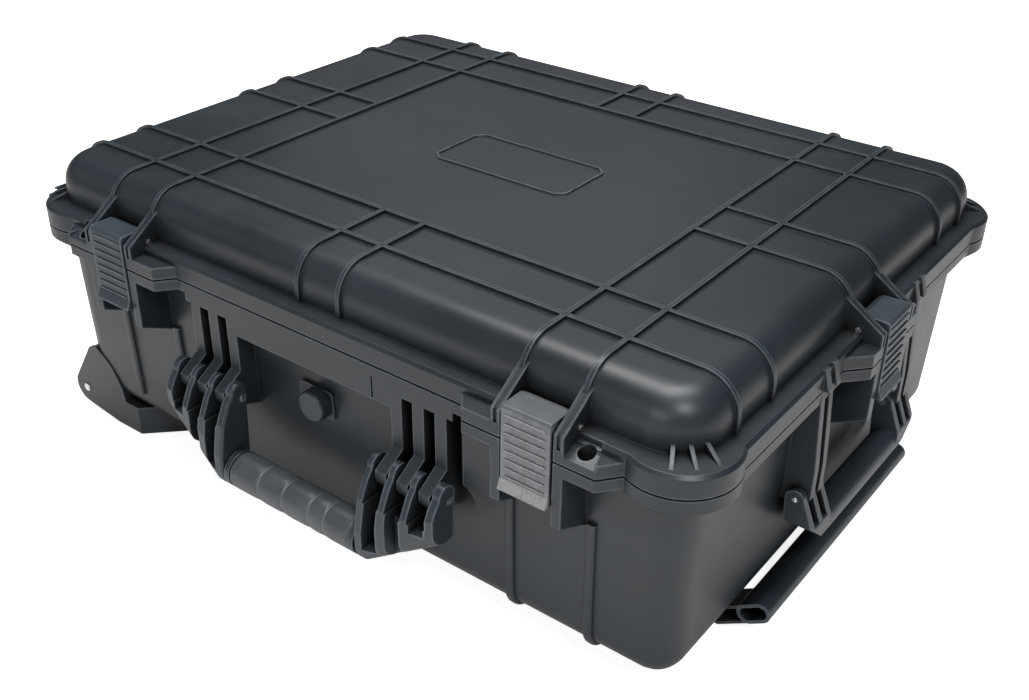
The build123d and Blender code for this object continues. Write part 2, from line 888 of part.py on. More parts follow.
def plate_outline():
    """Raised outline of the bare name plate on the lid top."""
    high = dome_top + plate_bead_height
    low = dome_top - 1

    def octagon(inset):
        length = plate_length / 2 - inset
        width = plate_width / 2 - inset
        cut = plate_cut - inset * math.tan(math.pi / 8)
        points = [
            (-length, -width + cut), (-length + cut, -width),
            (length - cut, -width), (length, -width + cut),
            (length, width - cut), (length - cut, width),
            (-length + cut, width), (-length, width - cut),
        ]
        sketch = Plane.XY.offset(low) * make_face(Polyline(*points, close=True))
        return extrude(sketch, high - low)

    return Pos(plate_x, plate_y, 0) * (octagon(0) - octagon(plate_bead))


def latch_gussets(station):
    """Two gussets that carry the latch pin on the lid, in the part frame."""
    points = [
        (wall - 1, lid_bottom),
        (-post_reach, lid_bottom),
        (-post_reach, knee_height),
        (-gusset_lip, gusset_top),
        (gusset_sink, gusset_top),
    ]
    gusset = side_profile(points, post_width)
    groove = [
        (-post_reach - 1, lid_bottom + gusset_groove_foot),
        (-post_reach - 1, knee_height + 1),
        (-gusset_lip - 1, gusset_top + 1),
        (-gusset_lip + gusset_groove, gusset_top + 1),
        (gusset_groove - post_reach, knee_height),
        (gusset_groove - post_reach, lid_bottom + gusset_groove_foot),
    ]
    gusset -= side_profile(groove, gusset_groove_width)
    place = latch_stations[station]
    return [place * Pos(x, 0, 0) * gusset for x in (-post_offset, post_offset)]


def latch_pin_bore():
    """Bore of a latch pin through both gussets, in the latch frame."""
    reach = post_offset + post_width
    return rod_x(latch_pin_radius + running, -reach, reach, -latch_pin_out, latch_pin_height)


def corner_gussets():
    """Three small upright fins at each corner of the lid flange."""
    shapes = []
    centre_x = dome_length / 2 - dome_corner
    centre_y = dome_width / 2 - dome_corner
    points = [
        (dome_corner - wall + 1, lid_flange_top - 1),
        (dome_corner + corner_fin_reach, lid_flange_top - 1),
        (dome_corner + corner_fin_reach, lid_flange_top),
        (dome_corner, lid_flange_top + corner_fin_height),
        (dome_corner - wall + 1, lid_flange_top + corner_fin_height),
    ]
    fin = end_profile(points, -corner_fin_width / 2, corner_fin_width / 2)
    for angle in corner_fin_angles:
        placed = Pos(centre_x, centre_y, 0) * Rot(0, 0, angle) * fin
        for shape in (placed, mirrored_x(placed)):
            shapes.append(dome_place * shape)
            shapes.append(dome_place * mirrored_y(shape))
    return shapes


def side_lugs():
    """Lid lugs above the fins of the end handle."""
    shapes = []
    points = [
        (right_foot - 1, lid_bottom),
        (side_pivot_x + side_knuckle_radius + side_bracket_skin, lid_bottom),
        (flange_length / 2, lid_bottom + side_lug_height),
        (right_foot - 1, lid_bottom + side_lug_height),
    ]
    for y in side_fin_rows:
        lug = end_profile(points, y - side_fin_width / 2, y + side_fin_width / 2)
        shapes.append(lug)
        shapes.append(mirrored_y(lug))
    return shapes


def hinge_lid_webs(x):
    """Two lid knuckles of one hinge with their webs on the rear flange."""
    shapes = []
    start = hinge_base_width / 2 + play
    for direction in (-1, 1):
        x0, x1 = sorted((direction * start, direction * (start + hinge_lid_width)))
        web = box_between(x0, x1, flange_width / 2 - hinge_web_sink, hinge_y, lid_bottom,
                          seam_height + hinge_knuckle_radius)
        knuckle = rod_x(hinge_knuckle_radius, x0, x1, hinge_y, seam_height)
        bore = rod_x(hinge_pin_radius + running, x0 - 1, x1 + 1, hinge_y, seam_height)
        shapes.append(Pos(x, 0, 0) * (web + knuckle - bore))
    return shapes


def make_lid_shell():
    """Lid: ribbed dome with flange, bosses, latch gussets and hinge knuckles."""
    solid = dome_form(0)
    flange = flange_outline(lid_bottom, lid_flange_top)
    top = flange.faces().sort_by(Axis.Z)[-1]
    solid += chamfer(top.edges(), flange_chamfer)
    for station in latch_stations:
        solid += boss_for(station, lid_bottom, lid_flange_top - boss_drop)
    for rib in lid_ribs():
        solid += rib
    for station, place in latch_stations.items():
        solid -= place * latch_pocket(lid_bottom - 1, lid_flange_top + 1)
    for station in latch_stations:
        for gusset in latch_gussets(station):
            solid += gusset
    for shape in corner_gussets() + side_lugs():
        solid += shape
    for x in (-front_latch_x, front_latch_x):
        for shape in hinge_lid_webs(x):
            solid += shape
    solid += plate_outline()

    rim_high = lid_bottom + rim_band
    cavity = rounded_block(
        dome_length - 2 * wall, dome_width - 2 * wall, dome_corner - wall,
        rim_high, dome_top - wall,
    )
    cavity = dome_place * fillet(cavity.faces().sort_by(Axis.Z)[-1].edges(), dome_round - wall)
    cavity += rim_opening(lid_bottom - 1, rim_high + 1, lid_rim_corner)
    solid -= cavity
    solid -= seal_line(seal_width, lid_bottom - 1, lid_bottom + seal_depth)
    for cut in padlock_pads() + padlock_holes(lid_bottom - 1, lid_flange_top + 1):
        solid -= cut
    for place in latch_stations.values():
        solid -= place * latch_pin_bore()
    return solid


def make_lid_gasket():
    return seal_line(seal_width, lid_bottom - seal_gap, lid_bottom + seal_depth)


# ------------------------------------------------------------------ latches
def make_latch_lever():
    """Lever of one latch in the latch frame: channel with ridges, lip and pin boss."""
    half = lever_width / 2
    face = -lever_face
    pin = (-latch_pin_out, latch_pin_height)
    back = -lever_back
    top_front = face + lever_top_round
    outline = (
        Polyline((face, lever_bottom + lip_height), (face, lever_top - lever_top_round))
        + ThreePointArc(
            (face, lever_top - lever_top_round),
            (face + lever_top_round * (1 - math.cos(math.pi / 4)),
             lever_top - lever_top_round * (1 - math.sin(math.pi / 4))),
            (top_front, lever_top),
        )
        + Polyline(
            (top_front, lever_top),
            (top_front + lever_top_flat, lever_top),
            (pin[0] + lever_boss, pin[1] + lever_boss),
            (pin[0] + lever_boss, pin[1] - lever_boss),
            (back, pin[1] - 3 * lever_boss),
            (back, lever_bottom + lip_height),
            (face, lever_bottom + lip_height),
        )
    )
    body = extrude(Plane.YZ * make_face(outline), half, both=True)
    hollow_points = [
        (face + lever_wall, lever_bottom),
        (face + lever_wall, lever_top - lever_top_round - lever_wall),
        (top_front, lever_top - lever_wall),
        (pin[0] - lever_boss - 1, lever_top - lever_wall),
        (pin[0] - lever_boss - 1, pin[1] - lever_boss),
        (pin[0] + 2 * lever_boss, pin[1] - lever_boss),
        (pin[0] + 2 * lever_boss, lever_bottom),
    ]
    body -= side_profile(hollow_points, lever_width - 2 * lever_cheek)
    lip_points = [
        (face + lever_wall, lever_bottom),
        (face - lip_reach, lever_bottom),
        (face, lever_bottom + lip_height),
        (face, lever_bottom + lip_height + 1),
        (face + lever_wall, lever_bottom + lip_height + 1),
    ]
    body += side_profile(lip_points, lever_width)
    for index in range(ridge_count):
        z = ridge_top - ridge_pitch * index
        ridge = box_between(-ridge_width / 2, ridge_width / 2, face - ridge_depth, face + 1,
                            z - ridge_height, z)
        body += ridge
    reach = half + 1
    body -= rod_x(latch_pin_radius + running, -reach, reach, pin[0], pin[1])
    body -= rod_x(hook_pin_radius, -reach, reach, -hook_pin_out, hook_pin_height)
    return body


def make_latch_hook():
    """Hook inside one lever in the latch frame, hanging clear in front of its keeper."""
    keeper_front = -(keeper_out + seal_gap)
    plate_back = -hook_pin_out + hook_plate / 2
    plate_front = plate_back - hook_plate
    tooth_high = keeper_bottom - 1
    low = hook_pin_height - hook_length
    points = [
        (plate_front, hook_pin_height),
        (plate_front, low),
        (keeper_front, low),
        (keeper_front, tooth_high),
        (plate_back, tooth_high),
        (plate_back, hook_pin_height),
    ]
    hook = side_profile(points, hook_width)
    hook += rod_x(hook_boss, -hook_width / 2, hook_width / 2, -hook_pin_out, hook_pin_height)
    bore = rod_x(hook_pin_radius + running, -hook_width, hook_width,
                 -hook_pin_out, hook_pin_height)
    return hook - bore


def make_latch_pin():
    """Pin of one latch through both lid gussets, in the latch frame."""
    reach = post_offset + post_width / 2 + pin_end
    return rod_x(latch_pin_radius, -reach, reach, -latch_pin_out, latch_pin_height)


def make_hook_pin():
    return rod_x(hook_pin_radius, -lever_width / 2, lever_width / 2,
                 -hook_pin_out, hook_pin_height)


# ------------------------------------------------------------------ front handle
def front_handle_side(side):
    """Slotted block at one end of the front handle, from its knuckles to the bar."""
    y = front_pivot_y
    z = front_pivot_height
    bar_y = front_bar_y
    bar_z = front_bar_z
    g = front_grip_radius
    ear = front_ear_radius
    ear_y = y - front_ear_back
    ear_z = z + front_ear_rise
    outline = (
        ThreePointArc((ear_y - ear, ear_z), (ear_y, ear_z + ear), (ear_y + ear, ear_z))
        + Polyline((ear_y + ear, ear_z), (y + ear / 2, z - ear), (bar_y + g, bar_z))
        + ThreePointArc((bar_y + g, bar_z), (bar_y, bar_z - g), (bar_y - g, bar_z))
        + Polyline(
            (bar_y - g, bar_z), (bar_y - g, bar_z + g),
            (y - front_shoulder_out, z - front_shoulder_drop),
            (y - front_brow_out, z), (ear_y - ear, ear_z),
        )
    )
    half = front_prong_width / 2
    first = front_fin_first - front_fin_pitch / 2
    x0 = first - half
    x1 = first + front_fins * front_fin_pitch + half
    block = extrude(Plane.YZ.offset(x0) * make_face(outline), x1 - x0)
    block = fillet(block.faces().sort_by(Axis.X)[0].edges(), front_inner_round)
    reach = 4 * g
    for index, x in enumerate(front_fin_columns()):
        gap = front_fin_pitch / 2 - half
        slot_low = bar_z + front_slot_floor[index]
        block -= box_between(x - gap, x + gap, y - reach, y + reach, slot_low, z + reach)
        wide = gap + front_knee_step
        block -= box_between(x - wide, x + wide, y - reach, y + reach, front_knee, z + reach)
    open_x = front_fin_columns()[1]
    gap = front_fin_pitch / 2 - half
    block -= box_between(open_x - gap, open_x + gap, y - reach, bar_y, 0, z)
    channel = (
        ThreePointArc((bar_y + g, bar_z), (bar_y, bar_z - g), (bar_y - g, bar_z))
        + Polyline((bar_y - g, bar_z), (bar_y - g, z + reach), (bar_y + reach, z + reach),
                   (bar_y + reach, bar_z), (bar_y + g, bar_z))
    )
    run = x1 - front_slant_x + 1
    slant = Vector(1, front_slant_back, front_slant_rise)
    risen = extrude(Plane.YZ.offset(front_slant_x) * make_face(channel),
                    run * slant.length, dir=slant)
    straight = box_between(0, front_slant_x, y - reach, y + reach, 0, z + reach)
    block &= risen + straight
    block -= rod_x(front_pin_radius + running, x0 - 1, x1 + 1, y, z)
    return block if side > 0 else mirrored_x(block)


def make_front_handle():
    """Front handle frame: two slotted ends on one core bar."""
    reach = front_fin_first - front_fin_pitch / 2
    frame = rod_x(front_bar_radius, -reach, reach, front_bar_y, front_bar_z)
    for side in (-1, 1):
        frame += front_handle_side(side)
        collar_x = side * front_grip_length / 2
        x0, x1 = sorted((collar_x, collar_x + side * handle_collar))
        frame += rod_x(front_grip_radius, x0, x1, front_bar_y, front_bar_z)
    return frame


def make_front_grip():
    """Soft sleeve around the core bar of the front handle."""
    half = front_grip_length / 2
    sleeve = rod_x(front_grip_radius, -half, half, front_bar_y, front_bar_z)
    return sleeve - rod_x(front_bar_radius, -half, half, front_bar_y, front_bar_z)


def make_front_pins():
    inner = front_fin_first - front_fin_pitch / 2 - front_prong_width / 2
    outer = inner + front_fins * front_fin_pitch + front_prong_width
    pin = rod_x(front_pin_radius, inner, outer, front_pivot_y, front_pivot_height)
    return group([pin, mirrored_x(pin)])


# ------------------------------------------------------------------ end handle
def side_prong_rows():
    """Y of the prongs of one side of the end handle."""
    return [side_fin_first + side_fin_pitch * (index - 0.5) for index in range(3)]


def make_side_handle():
    """Carry handle on the +X end: slotted ends and a round bar."""
    x = side_pivot_x
    z = side_pivot_height
    r = side_knuckle_radius
    bar_x = side_bar_x
    bar_z = side_bar_z
    b = side_bar_radius
    rows = side_prong_rows()
    half = side_prong_width / 2
    outline = (
        ThreePointArc((x - r, z), (x, z + r), (x + r, z))
        + Polyline((x + r, z), (bar_x + b, bar_z + b), (bar_x + b, bar_z))
        + ThreePointArc((bar_x + b, bar_z), (bar_x, bar_z - b), (bar_x - b, bar_z))
        + Polyline((bar_x - b, bar_z), (x - r, z))
    )
    y0 = rows[0] - half
    y1 = rows[-1] + half
    block = extrude(Plane.XZ.offset(-y1) * make_face(outline), y1 - y0)
    reach = 4 * b
    for fin_y in side_fin_rows:
        gap = side_fin_pitch / 2 - half
        block -= box_between(x - reach, x + reach, fin_y - gap, fin_y + gap,
                             bar_z + side_slot_floor, z + 2 * r)
    slant_low = bar_z - b - 1
    slant = [
        (y0, slant_low),
        (y1 + 1, bar_z + side_slant_rise),
        (y1 + 1, slant_low),
    ]
    cutter = extrude(Plane.YZ.offset(x - reach) * make_face(Polyline(*slant, close=True)),
                     2 * reach)
    block -= cutter
    block -= rod_y(side_pin_radius + running, y0 - 1, y1 + 1, x, z)
    frame = rod_y(side_bar_radius, -y0 - 1, y0 + 1, bar_x, bar_z)
    return frame + block + mirrored_y(block)


def make_side_pins():
    rows = side_prong_rows()
    inner = rows[0] - side_prong_width / 2
    outer = rows[-1] + side_prong_width / 2 + pin_end
    pin = rod_y(side_pin_radius, inner, outer, side_pivot_x, side_pivot_height)
    return [pin, mirrored_y(pin)]


# ------------------------------------------------------------------ purge valve
def make_valve_body():
    """Valve body: flange inside the wall, stem through it and a spigot for the knob."""
    y = inner_wall_y() + valve_seal_thick
    outer = -(base_width / 2 + valve_pad_thick)
    body = rod_y(valve_flange_radius, y, y + valve_flange_thick, valve_x, valve_height)
    stem_end = outer - valve_nut_thick
    body += rod_y(valve_stem_radius, stem_end, y + 1, valve_x, valve_height)
    spigot_end = outer - play - valve_knob_depth + valve_knob_wall
    body += rod_y(valve_spigot_radius, spigot_end, y, valve_x, valve_height)
    return body


def inner_wall_y():
    """Inside of the front wall where the bottom of the valve flange meets it."""
    drop = base_top - valve_height + valve_flange_radius
    return -base_width / 2 + wall + drop * math.tan(math.radians(wall_draft))


def make_valve_gasket():
    y = inner_wall_y()
    ring = rod_y(valve_flange_radius - 1, y, y + valve_seal_thick, valve_x, valve_height)
    return ring - rod_y(valve_stem_radius + running, y - 1, y + 3, valve_x, valve_height)


def make_valve_nut():
    outer = -(base_width / 2 + valve_pad_thick)
    sketch = RegularPolygon(valve_nut_size / 2, 6, major_radius=False)
    nut = extrude(Plane.XZ.offset(-outer) * Pos(valve_x, valve_height) * sketch, valve_nut_thick)
    return nut - rod_y(valve_stem_radius, outer - 2 * valve_nut_thick, outer + 1,
                       valve_x, valve_height)


def make_valve_knob():
    """Fluted cap that turns on the spigot and hides the nut."""
    outer = -(base_width / 2 + valve_pad_thick) - play
    front = outer - valve_knob_depth
    knob = rod_y(valve_knob_radius, front, outer, valve_x, valve_height)
    knob = chamfer(knob.faces().sort_by(Axis.Y)[0].edges(), valve_knob_chamfer)
    for index in range(valve_flutes):
        turn = 2 * math.pi * index / valve_flutes
        x = valve_x + (valve_knob_radius + valve_flute_out) * math.cos(turn)
        z = valve_height + (valve_knob_radius + valve_flute_out) * math.sin(turn)
        knob -= rod_y(valve_flute_radius, front - 1, outer + 1, x, z)
    knob -= rod_y(valve_knob_radius - valve_knob_skin, front + valve_knob_wall, outer + 1,
                  valve_x, valve_height)
    knob += rod_y(valve_spigot_radius + valve_knob_skin, front + valve_knob_wall / 2,
                  outer - valve_nut_thick, valve_x, valve_height)
    knob -= rod_y(valve_spigot_radius + running, front + valve_knob_wall - play, outer + 1,
                  valve_x, valve_height)
    return knob


# ------------------------------------------------------------------ wheels
def bracket_outline():
    """Side outline of a wheel bracket cheek in the X-Z plane."""
    start = math.asin((bracket_top - wheel_height) / bracket_radius)
    end = math.radians(bracket_sweep)
    middle = (start + end) / 2

    def ring(angle, radius):
        return (wheel_x + radius * math.cos(angle), wheel_height + radius * math.sin(angle))

    nose = [ring(math.radians(angle), bracket_nose) for angle in (140, 195, 262)]
    keel_x = wheel_x + bracket_keel_run
    tail_x = wheel_x + bracket_tail_run
    return (
        ThreePointArc(ring(start, bracket_radius), ring(middle, bracket_radius),
                      ring(end, bracket_radius))
        + Polyline(ring(end, bracket_radius), (wheel_x + bracket_crest, bracket_crest_height),
                   nose[0])
        + ThreePointArc(*nose)
        + Polyline(nose[2], (keel_x, bracket_keel), (tail_x, bracket_keel),
                   (tail_x, bracket_top), ring(start, bracket_radius))
    )


def make_wheel_bracket(side):
    """Wheel bracket: two cheeks, a curved web and a tail that turns in under the base."""
    inner_low = bracket_inner - bracket_wall
    outline = Plane.XZ.offset(-bracket_face) * make_face(bracket_outline())
    solid = extrude(outline, bracket_face - inner_low)
    start_x = wheel_x + bracket_tail_run
    end_x = start_x + (bracket_face - inner_low) * bracket_tail_slope
    points = [
        (start_x - bracket_wall, bracket_face),
        (start_x, bracket_face),
        (end_x, inner_low),
        (start_x - bracket_wall, inner_low),
    ]
    tail = Plane.XY.offset(bracket_keel) * make_face(Polyline(*points, close=True))
    solid += extrude(tail, bracket_top - bracket_keel)
    solid -= rod_y(bracket_radius - bracket_wall, bracket_inner, bracket_face - bracket_wall,
                   wheel_x, wheel_height)
    clearance = base_form(0)
    for well in wheel_wells(well_radius, well_inner, flange_width):
        clearance -= well
    solid -= clearance
    solid -= rod_y(axle_radius, 0, base_width, wheel_x, wheel_height)
    for x, z in bracket_screw_spots():
        solid -= rod_y(screw_radius, inner_low - 1, bracket_inner + 1, x, z)
    solid = solid.solids().sort_by(SortBy.VOLUME)[-1]
    return solid if side > 0 else mirrored_y(solid)


def wheel_middle():
    return (bracket_inner + bracket_face - bracket_wall) / 2


def hub_reach():
    """Half length of the hub between the two cheeks."""
    return (bracket_face - bracket_wall - bracket_inner) / 2 - play


def make_tyre(side):
    y = side * wheel_middle()
    half = wheel_width / 2
    tyre = rod_y(wheel_radius, y - half, y + half, wheel_x, wheel_height)
    tyre = chamfer(tyre.edges().filter_by(GeomType.CIRCLE), tyre_chamfer)
    return tyre - rod_y(wheel_radius - tyre_thick, y - half, y + half, wheel_x, wheel_height)


def make_hub(side):
    """Wheel hub: rim, disc and a long boss."""
    y = side * wheel_middle()
    half = wheel_width / 2
    rim = wheel_radius - tyre_thick
    hub = rod_y(rim, y - half, y + half, wheel_x, wheel_height)
    hub -= rod_y(rim - hub_rim, y - half, y - hub_disc / 2, wheel_x, wheel_height)
    hub -= rod_y(rim - hub_rim, y + hub_disc / 2, y + half, wheel_x, wheel_height)
    hub += rod_y(hub_boss, y - hub_reach(), y + hub_reach(), wheel_x, wheel_height)
    return hub - rod_y(wheel_bore, y - base_width, y + base_width, wheel_x, wheel_height)


def make_bush(side):
    y = side * wheel_middle()
    bush = rod_y(wheel_bore, y - hub_reach(), y + hub_reach(), wheel_x, wheel_height)
    return bush - rod_y(axle_radius + running, y - base_width, y + base_width,
                        wheel_x, wheel_height)


def make_axle():
    """Axle pin with a low round head on the outer cheek."""
    inner = bracket_inner - bracket_wall
    axle = rod_y(axle_radius, inner, bracket_face, wheel_x, wheel_height)
    return axle + rod_y(axle_head, bracket_face, bracket_face + pin_end, wheel_x, wheel_height)


def make_bracket_screws():
    """Screws that hold one bracket's inner cheek to the well side."""
    shapes = []
    for x, z in bracket_screw_spots():
        shank = rod_y(screw_core, well_inner - screw_length + 1, bracket_inner, x, z)
        shank += rod_y(screw_head, bracket_inner, bracket_inner + screw_head_height, x, z)
        shapes.append(shank)
    return shapes


# ------------------------------------------------------------------ trolley handle
def make_guide():
    """Two closed channels under the base that carry the arms, joined by flat straps."""
    inner = groove_half
    outer = inner + guide_wall
    foot = outer + guide_foot_width
    points = [
        (-outer, 0), (outer, 0), (outer, underside - guide_floor),
        (foot, underside - guide_floor), (foot, underside), (-foot, underside),
        (-foot, underside - guide_floor), (-outer, underside - guide_floor),
    ]
    run = guide_end_x - guide_start_x
    channel = extrude(
        Plane.YZ.offset(guide_start_x) * make_face(Polyline(*points, close=True)), run)
    channel -= box_between(guide_start_x - 1, guide_end_x + 1, -inner, inner,
                           guide_floor, groove_top)
    solid = Pos(0, arm_row, 0) * channel + Pos(0, -arm_row, 0) * channel
    half = guide_strap_width / 2
    for x in (guide_start_x + half, 0, guide_end_x - half):
        solid += box_between(x - half, x + half, -arm_row + inner, arm_row - inner,
                             0, guide_floor)
    for x, y in foot_bosses():
        solid -= Pos(x, y, underside) * Cylinder(screw_radius, 4 * guide_floor)
    return solid


def make_guide_screws():
    shapes = []
    head_top = underside - guide_floor
    for x, y in foot_bosses():
        shank_high = underside + screw_length - 1
        shank = Pos(x, y, (head_top + shank_high) / 2) * Cylinder(screw_core, shank_high - head_top)
        head_z = head_top - screw_head_height / 2
        shapes.append(shank + Pos(x, y, head_z) * Cylinder(screw_head, screw_head_height))
    return shapes


def bar_section(length, height, y0, y1):
    """Slanted oval along Y at the place of the trolley bar."""
    slope = Rot(0, -arm_rise, 0)
    slot = extrude(Plane.XZ.offset(-y1) * SlotOverall(length, height), y1 - y0)
    centre_z = arm_mid + (trolley_bar_x - arm_bend_x) * math.tan(math.radians(arm_rise))
    return Pos(trolley_bar_x, 0, centre_z) * slope * slot


def make_trolley_arm(side):
    """Arm: channel open to the outside that bends up to the bar."""
    inner = arm_row - arm_width / 2
    outer = arm_row + arm_width / 2
    arm = end_profile(arm_path(0, arm_tail_x), inner, outer)
    arm -= end_profile(arm_path(-arm_lip, arm_tail_x + arm_tail_block), inner + arm_web, outer + 1)
    arm -= bar_section(trolley_bar_width, trolley_bar_height, inner - 1, outer + 1)
    arm = arm.solids().sort_by(SortBy.VOLUME)[-1]
    return arm if side < 0 else mirrored_y(arm)


def make_trolley_bar():
    """Hollow oval cross bar between the arms, open at both ends."""
    half = arm_row + arm_width / 2
    bar = bar_section(trolley_bar_width, trolley_bar_height, -half, half)
    bore = bar_section(trolley_bar_width - 2 * bar_wall, trolley_bar_height - 2 * bar_wall,
                       -half - 1, half + 1)
    return bar - bore


# ------------------------------------------------------------------ foam
def foam_block(low, high, edge):
    """Foam that fits the base between two heights, clear of the wheel housings."""
    length = base_length - 2 * rim_wall - 2 * foam_gap
    width = base_width - 2 * rim_wall - 2 * foam_gap
    form = drafted_form(length, width, foam_corner, foam_top, foam_low, edge)
    block = Pos(base_middle, 0, 0) * form
    block &= box_between(-base_length, base_length, -base_width, base_width, low, high)
    housing = well_radius + wall + foam_gap
    for well in wheel_wells(housing, well_inner - screw_boss_depth - foam_gap, base_width):
        block -= well
    return block


def make_foam_pad():
    """Bottom foam layer between the screw bosses and the tray."""
    return foam_block(foam_low, pad_top, foam_round)


def make_foam_tray():
    """Upper foam layer with the laptop pocket and the charger pocket."""
    tray = foam_block(pad_top, foam_top, foam_round)
    half = laptop_length / 2
    depth = laptop_width / 2
    tray -= box_between(laptop_x - half, laptop_x + half, -depth, depth,
                        foam_top - laptop_depth, foam_top + 1)
    half = charger_length / 2
    tray -= box_between(charger_x - half, charger_x + half, -depth, depth,
                        foam_top - charger_depth, foam_top + 1)
    y = inner_wall_y()
    tray -= rod_y(valve_flange_radius + play, y - 1, y + valve_room, valve_x, valve_height)
    return tray


def make_lid_foam():
    length = base_length - 2 * rim_wall - 2 * foam_gap
    width = base_width - 2 * rim_wall - 2 * foam_gap
    high = dome_top - wall - seal_gap
    block = Pos(base_middle, 0, 0) * rounded_block(
        length, width, lid_foam_corner, lid_foam_low, high)
    return fillet(block.faces().sort_by(Axis.Z)[-1].edges(), dome_round - wall)


# ------------------------------------------------------------------ hinges
def make_hinge_pins():
    reach = hinge_base_width / 2 + play + hinge_lid_width
    return [
        rod_x(hinge_pin_radius, x - reach, x + reach, hinge_y, seam_height)
        for x in (-front_latch_x, front_latch_x)
    ]


# ------------------------------------------------------------------ all nodes
def main():
    write("base_shell", make_base_shell())
    write("lid_shell", make_lid_shell())
    write("lid_gasket", make_lid_gasket())
    write("base_foam_pad", make_foam_pad())
    write("base_foam_tray", make_foam_tray())
    write("lid_foam", make_lid_foam())
    write("hinge_pins", group(make_hinge_pins()))

    lever = make_latch_lever()
    hook = make_latch_hook()
    hook_pin = make_hook_pin()
    latch_pin = make_latch_pin()
    for station, place in latch_stations.items():
        write(f"latch_lever_{station}", place * lever)
        write(f"latch_hook_{station}", place * hook)
        write(f"latch_hook_pin_{station}", place * hook_pin)
    write("latch_pins", group([place * latch_pin for place in latch_stations.values()]))

    write("front_handle_frame", make_front_handle())
    write("front_handle_grip", make_front_grip())
    write("front_handle_pins", make_front_pins())

    write("end_handle", make_side_handle())
    write("end_handle_pins", group(make_side_pins()))

    write("purge_valve_body", make_valve_body())
    write("purge_valve_gasket", make_valve_gasket())
    write("purge_valve_nut", make_valve_nut())
    write("purge_valve_knob", make_valve_knob())

    sides = {"front": -1, "rear": 1}
    for name, side in sides.items():
        write(f"wheel_bracket_{name}", make_wheel_bracket(side))
        write(f"wheel_tyre_{name}", make_tyre(side))
        write(f"wheel_hub_{name}", make_hub(side))
        write(f"wheel_bush_{name}", make_bush(side))
        write(f"trolley_arm_{name}", make_trolley_arm(side))
    axle = make_axle()
    write("wheel_axles", group([axle, mirrored_y(axle)]))
    screws = make_bracket_screws()
    write("wheel_bracket_screws", group(screws + [mirrored_y(screw) for screw in screws]))

    write("trolley_guide", make_guide())
    write("trolley_guide_screws", group(make_guide_screws()))
    write("trolley_bar", make_trolley_bar())


main()
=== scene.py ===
import math

import bpy
import numpy as np
from mathutils import Matrix, Vector


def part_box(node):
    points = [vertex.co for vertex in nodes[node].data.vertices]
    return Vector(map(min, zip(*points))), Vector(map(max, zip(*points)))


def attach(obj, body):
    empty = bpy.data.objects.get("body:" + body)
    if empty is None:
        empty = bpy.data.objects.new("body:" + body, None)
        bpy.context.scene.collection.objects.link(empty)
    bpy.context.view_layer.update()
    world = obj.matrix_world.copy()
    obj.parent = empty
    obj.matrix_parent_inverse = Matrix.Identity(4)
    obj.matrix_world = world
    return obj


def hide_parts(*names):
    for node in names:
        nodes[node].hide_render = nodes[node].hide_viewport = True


# The looks of a wheeled hard equipment case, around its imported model. Metres, +Z up,
# ground at Z 0, +X the trolley end, -X the wheel end, -Y the front.

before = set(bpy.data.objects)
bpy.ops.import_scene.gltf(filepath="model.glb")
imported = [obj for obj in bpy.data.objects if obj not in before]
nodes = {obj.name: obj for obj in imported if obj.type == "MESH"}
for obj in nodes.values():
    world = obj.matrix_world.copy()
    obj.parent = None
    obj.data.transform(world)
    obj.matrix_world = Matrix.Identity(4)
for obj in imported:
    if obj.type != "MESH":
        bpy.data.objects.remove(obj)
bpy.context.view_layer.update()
scene = bpy.context.scene
scene.view_settings.view_transform = "Standard"

MM = 0.001                       # one millimetre
STATIONS = ("front_left", "front_right", "side_left", "side_right")     # the four latches
SIDES = ("front", "rear")


# ------------------------------------------------------------------ camera
CAMERA_PLACE = Vector((0.52396, -0.71104, 0.60524))
CAMERA_TURN = 0.6361          # radians from +Y towards -X
CAMERA_DIP = 0.5453           # radians below the horizon
CAMERA_ROLL = 0.01776
FOCAL_PIXELS = 1227.81
FRAME_WIDTH = 1029            # pixels


def make_camera():
    """Camera at its place, looking along its turn and dip, then rolled about that line."""
    forward = Vector((
        -math.sin(CAMERA_TURN) * math.cos(CAMERA_DIP),
        math.cos(CAMERA_TURN) * math.cos(CAMERA_DIP),
        -math.sin(CAMERA_DIP),
    ))
    right = forward.cross(Vector((0, 0, 1))).normalized()
    up = right.cross(forward)
    right_rolled = right * math.cos(CAMERA_ROLL) + up * math.sin(CAMERA_ROLL)
    up_rolled = up * math.cos(CAMERA_ROLL) - right * math.sin(CAMERA_ROLL)
    turn = Matrix((right_rolled, up_rolled, -forward)).transposed()
    data = bpy.data.cameras.new("studio_camera")
    data.sensor_fit = "HORIZONTAL"
    data.sensor_width = 36.0
    data.lens = data.sensor_width * FOCAL_PIXELS / FRAME_WIDTH
    data.clip_start = 0.01
    camera = bpy.data.objects.new("studio_camera", data)
    camera.matrix_world = Matrix.Translation(CAMERA_PLACE) @ turn.to_4x4()
    scene.collection.objects.link(camera)
    scene.camera = camera


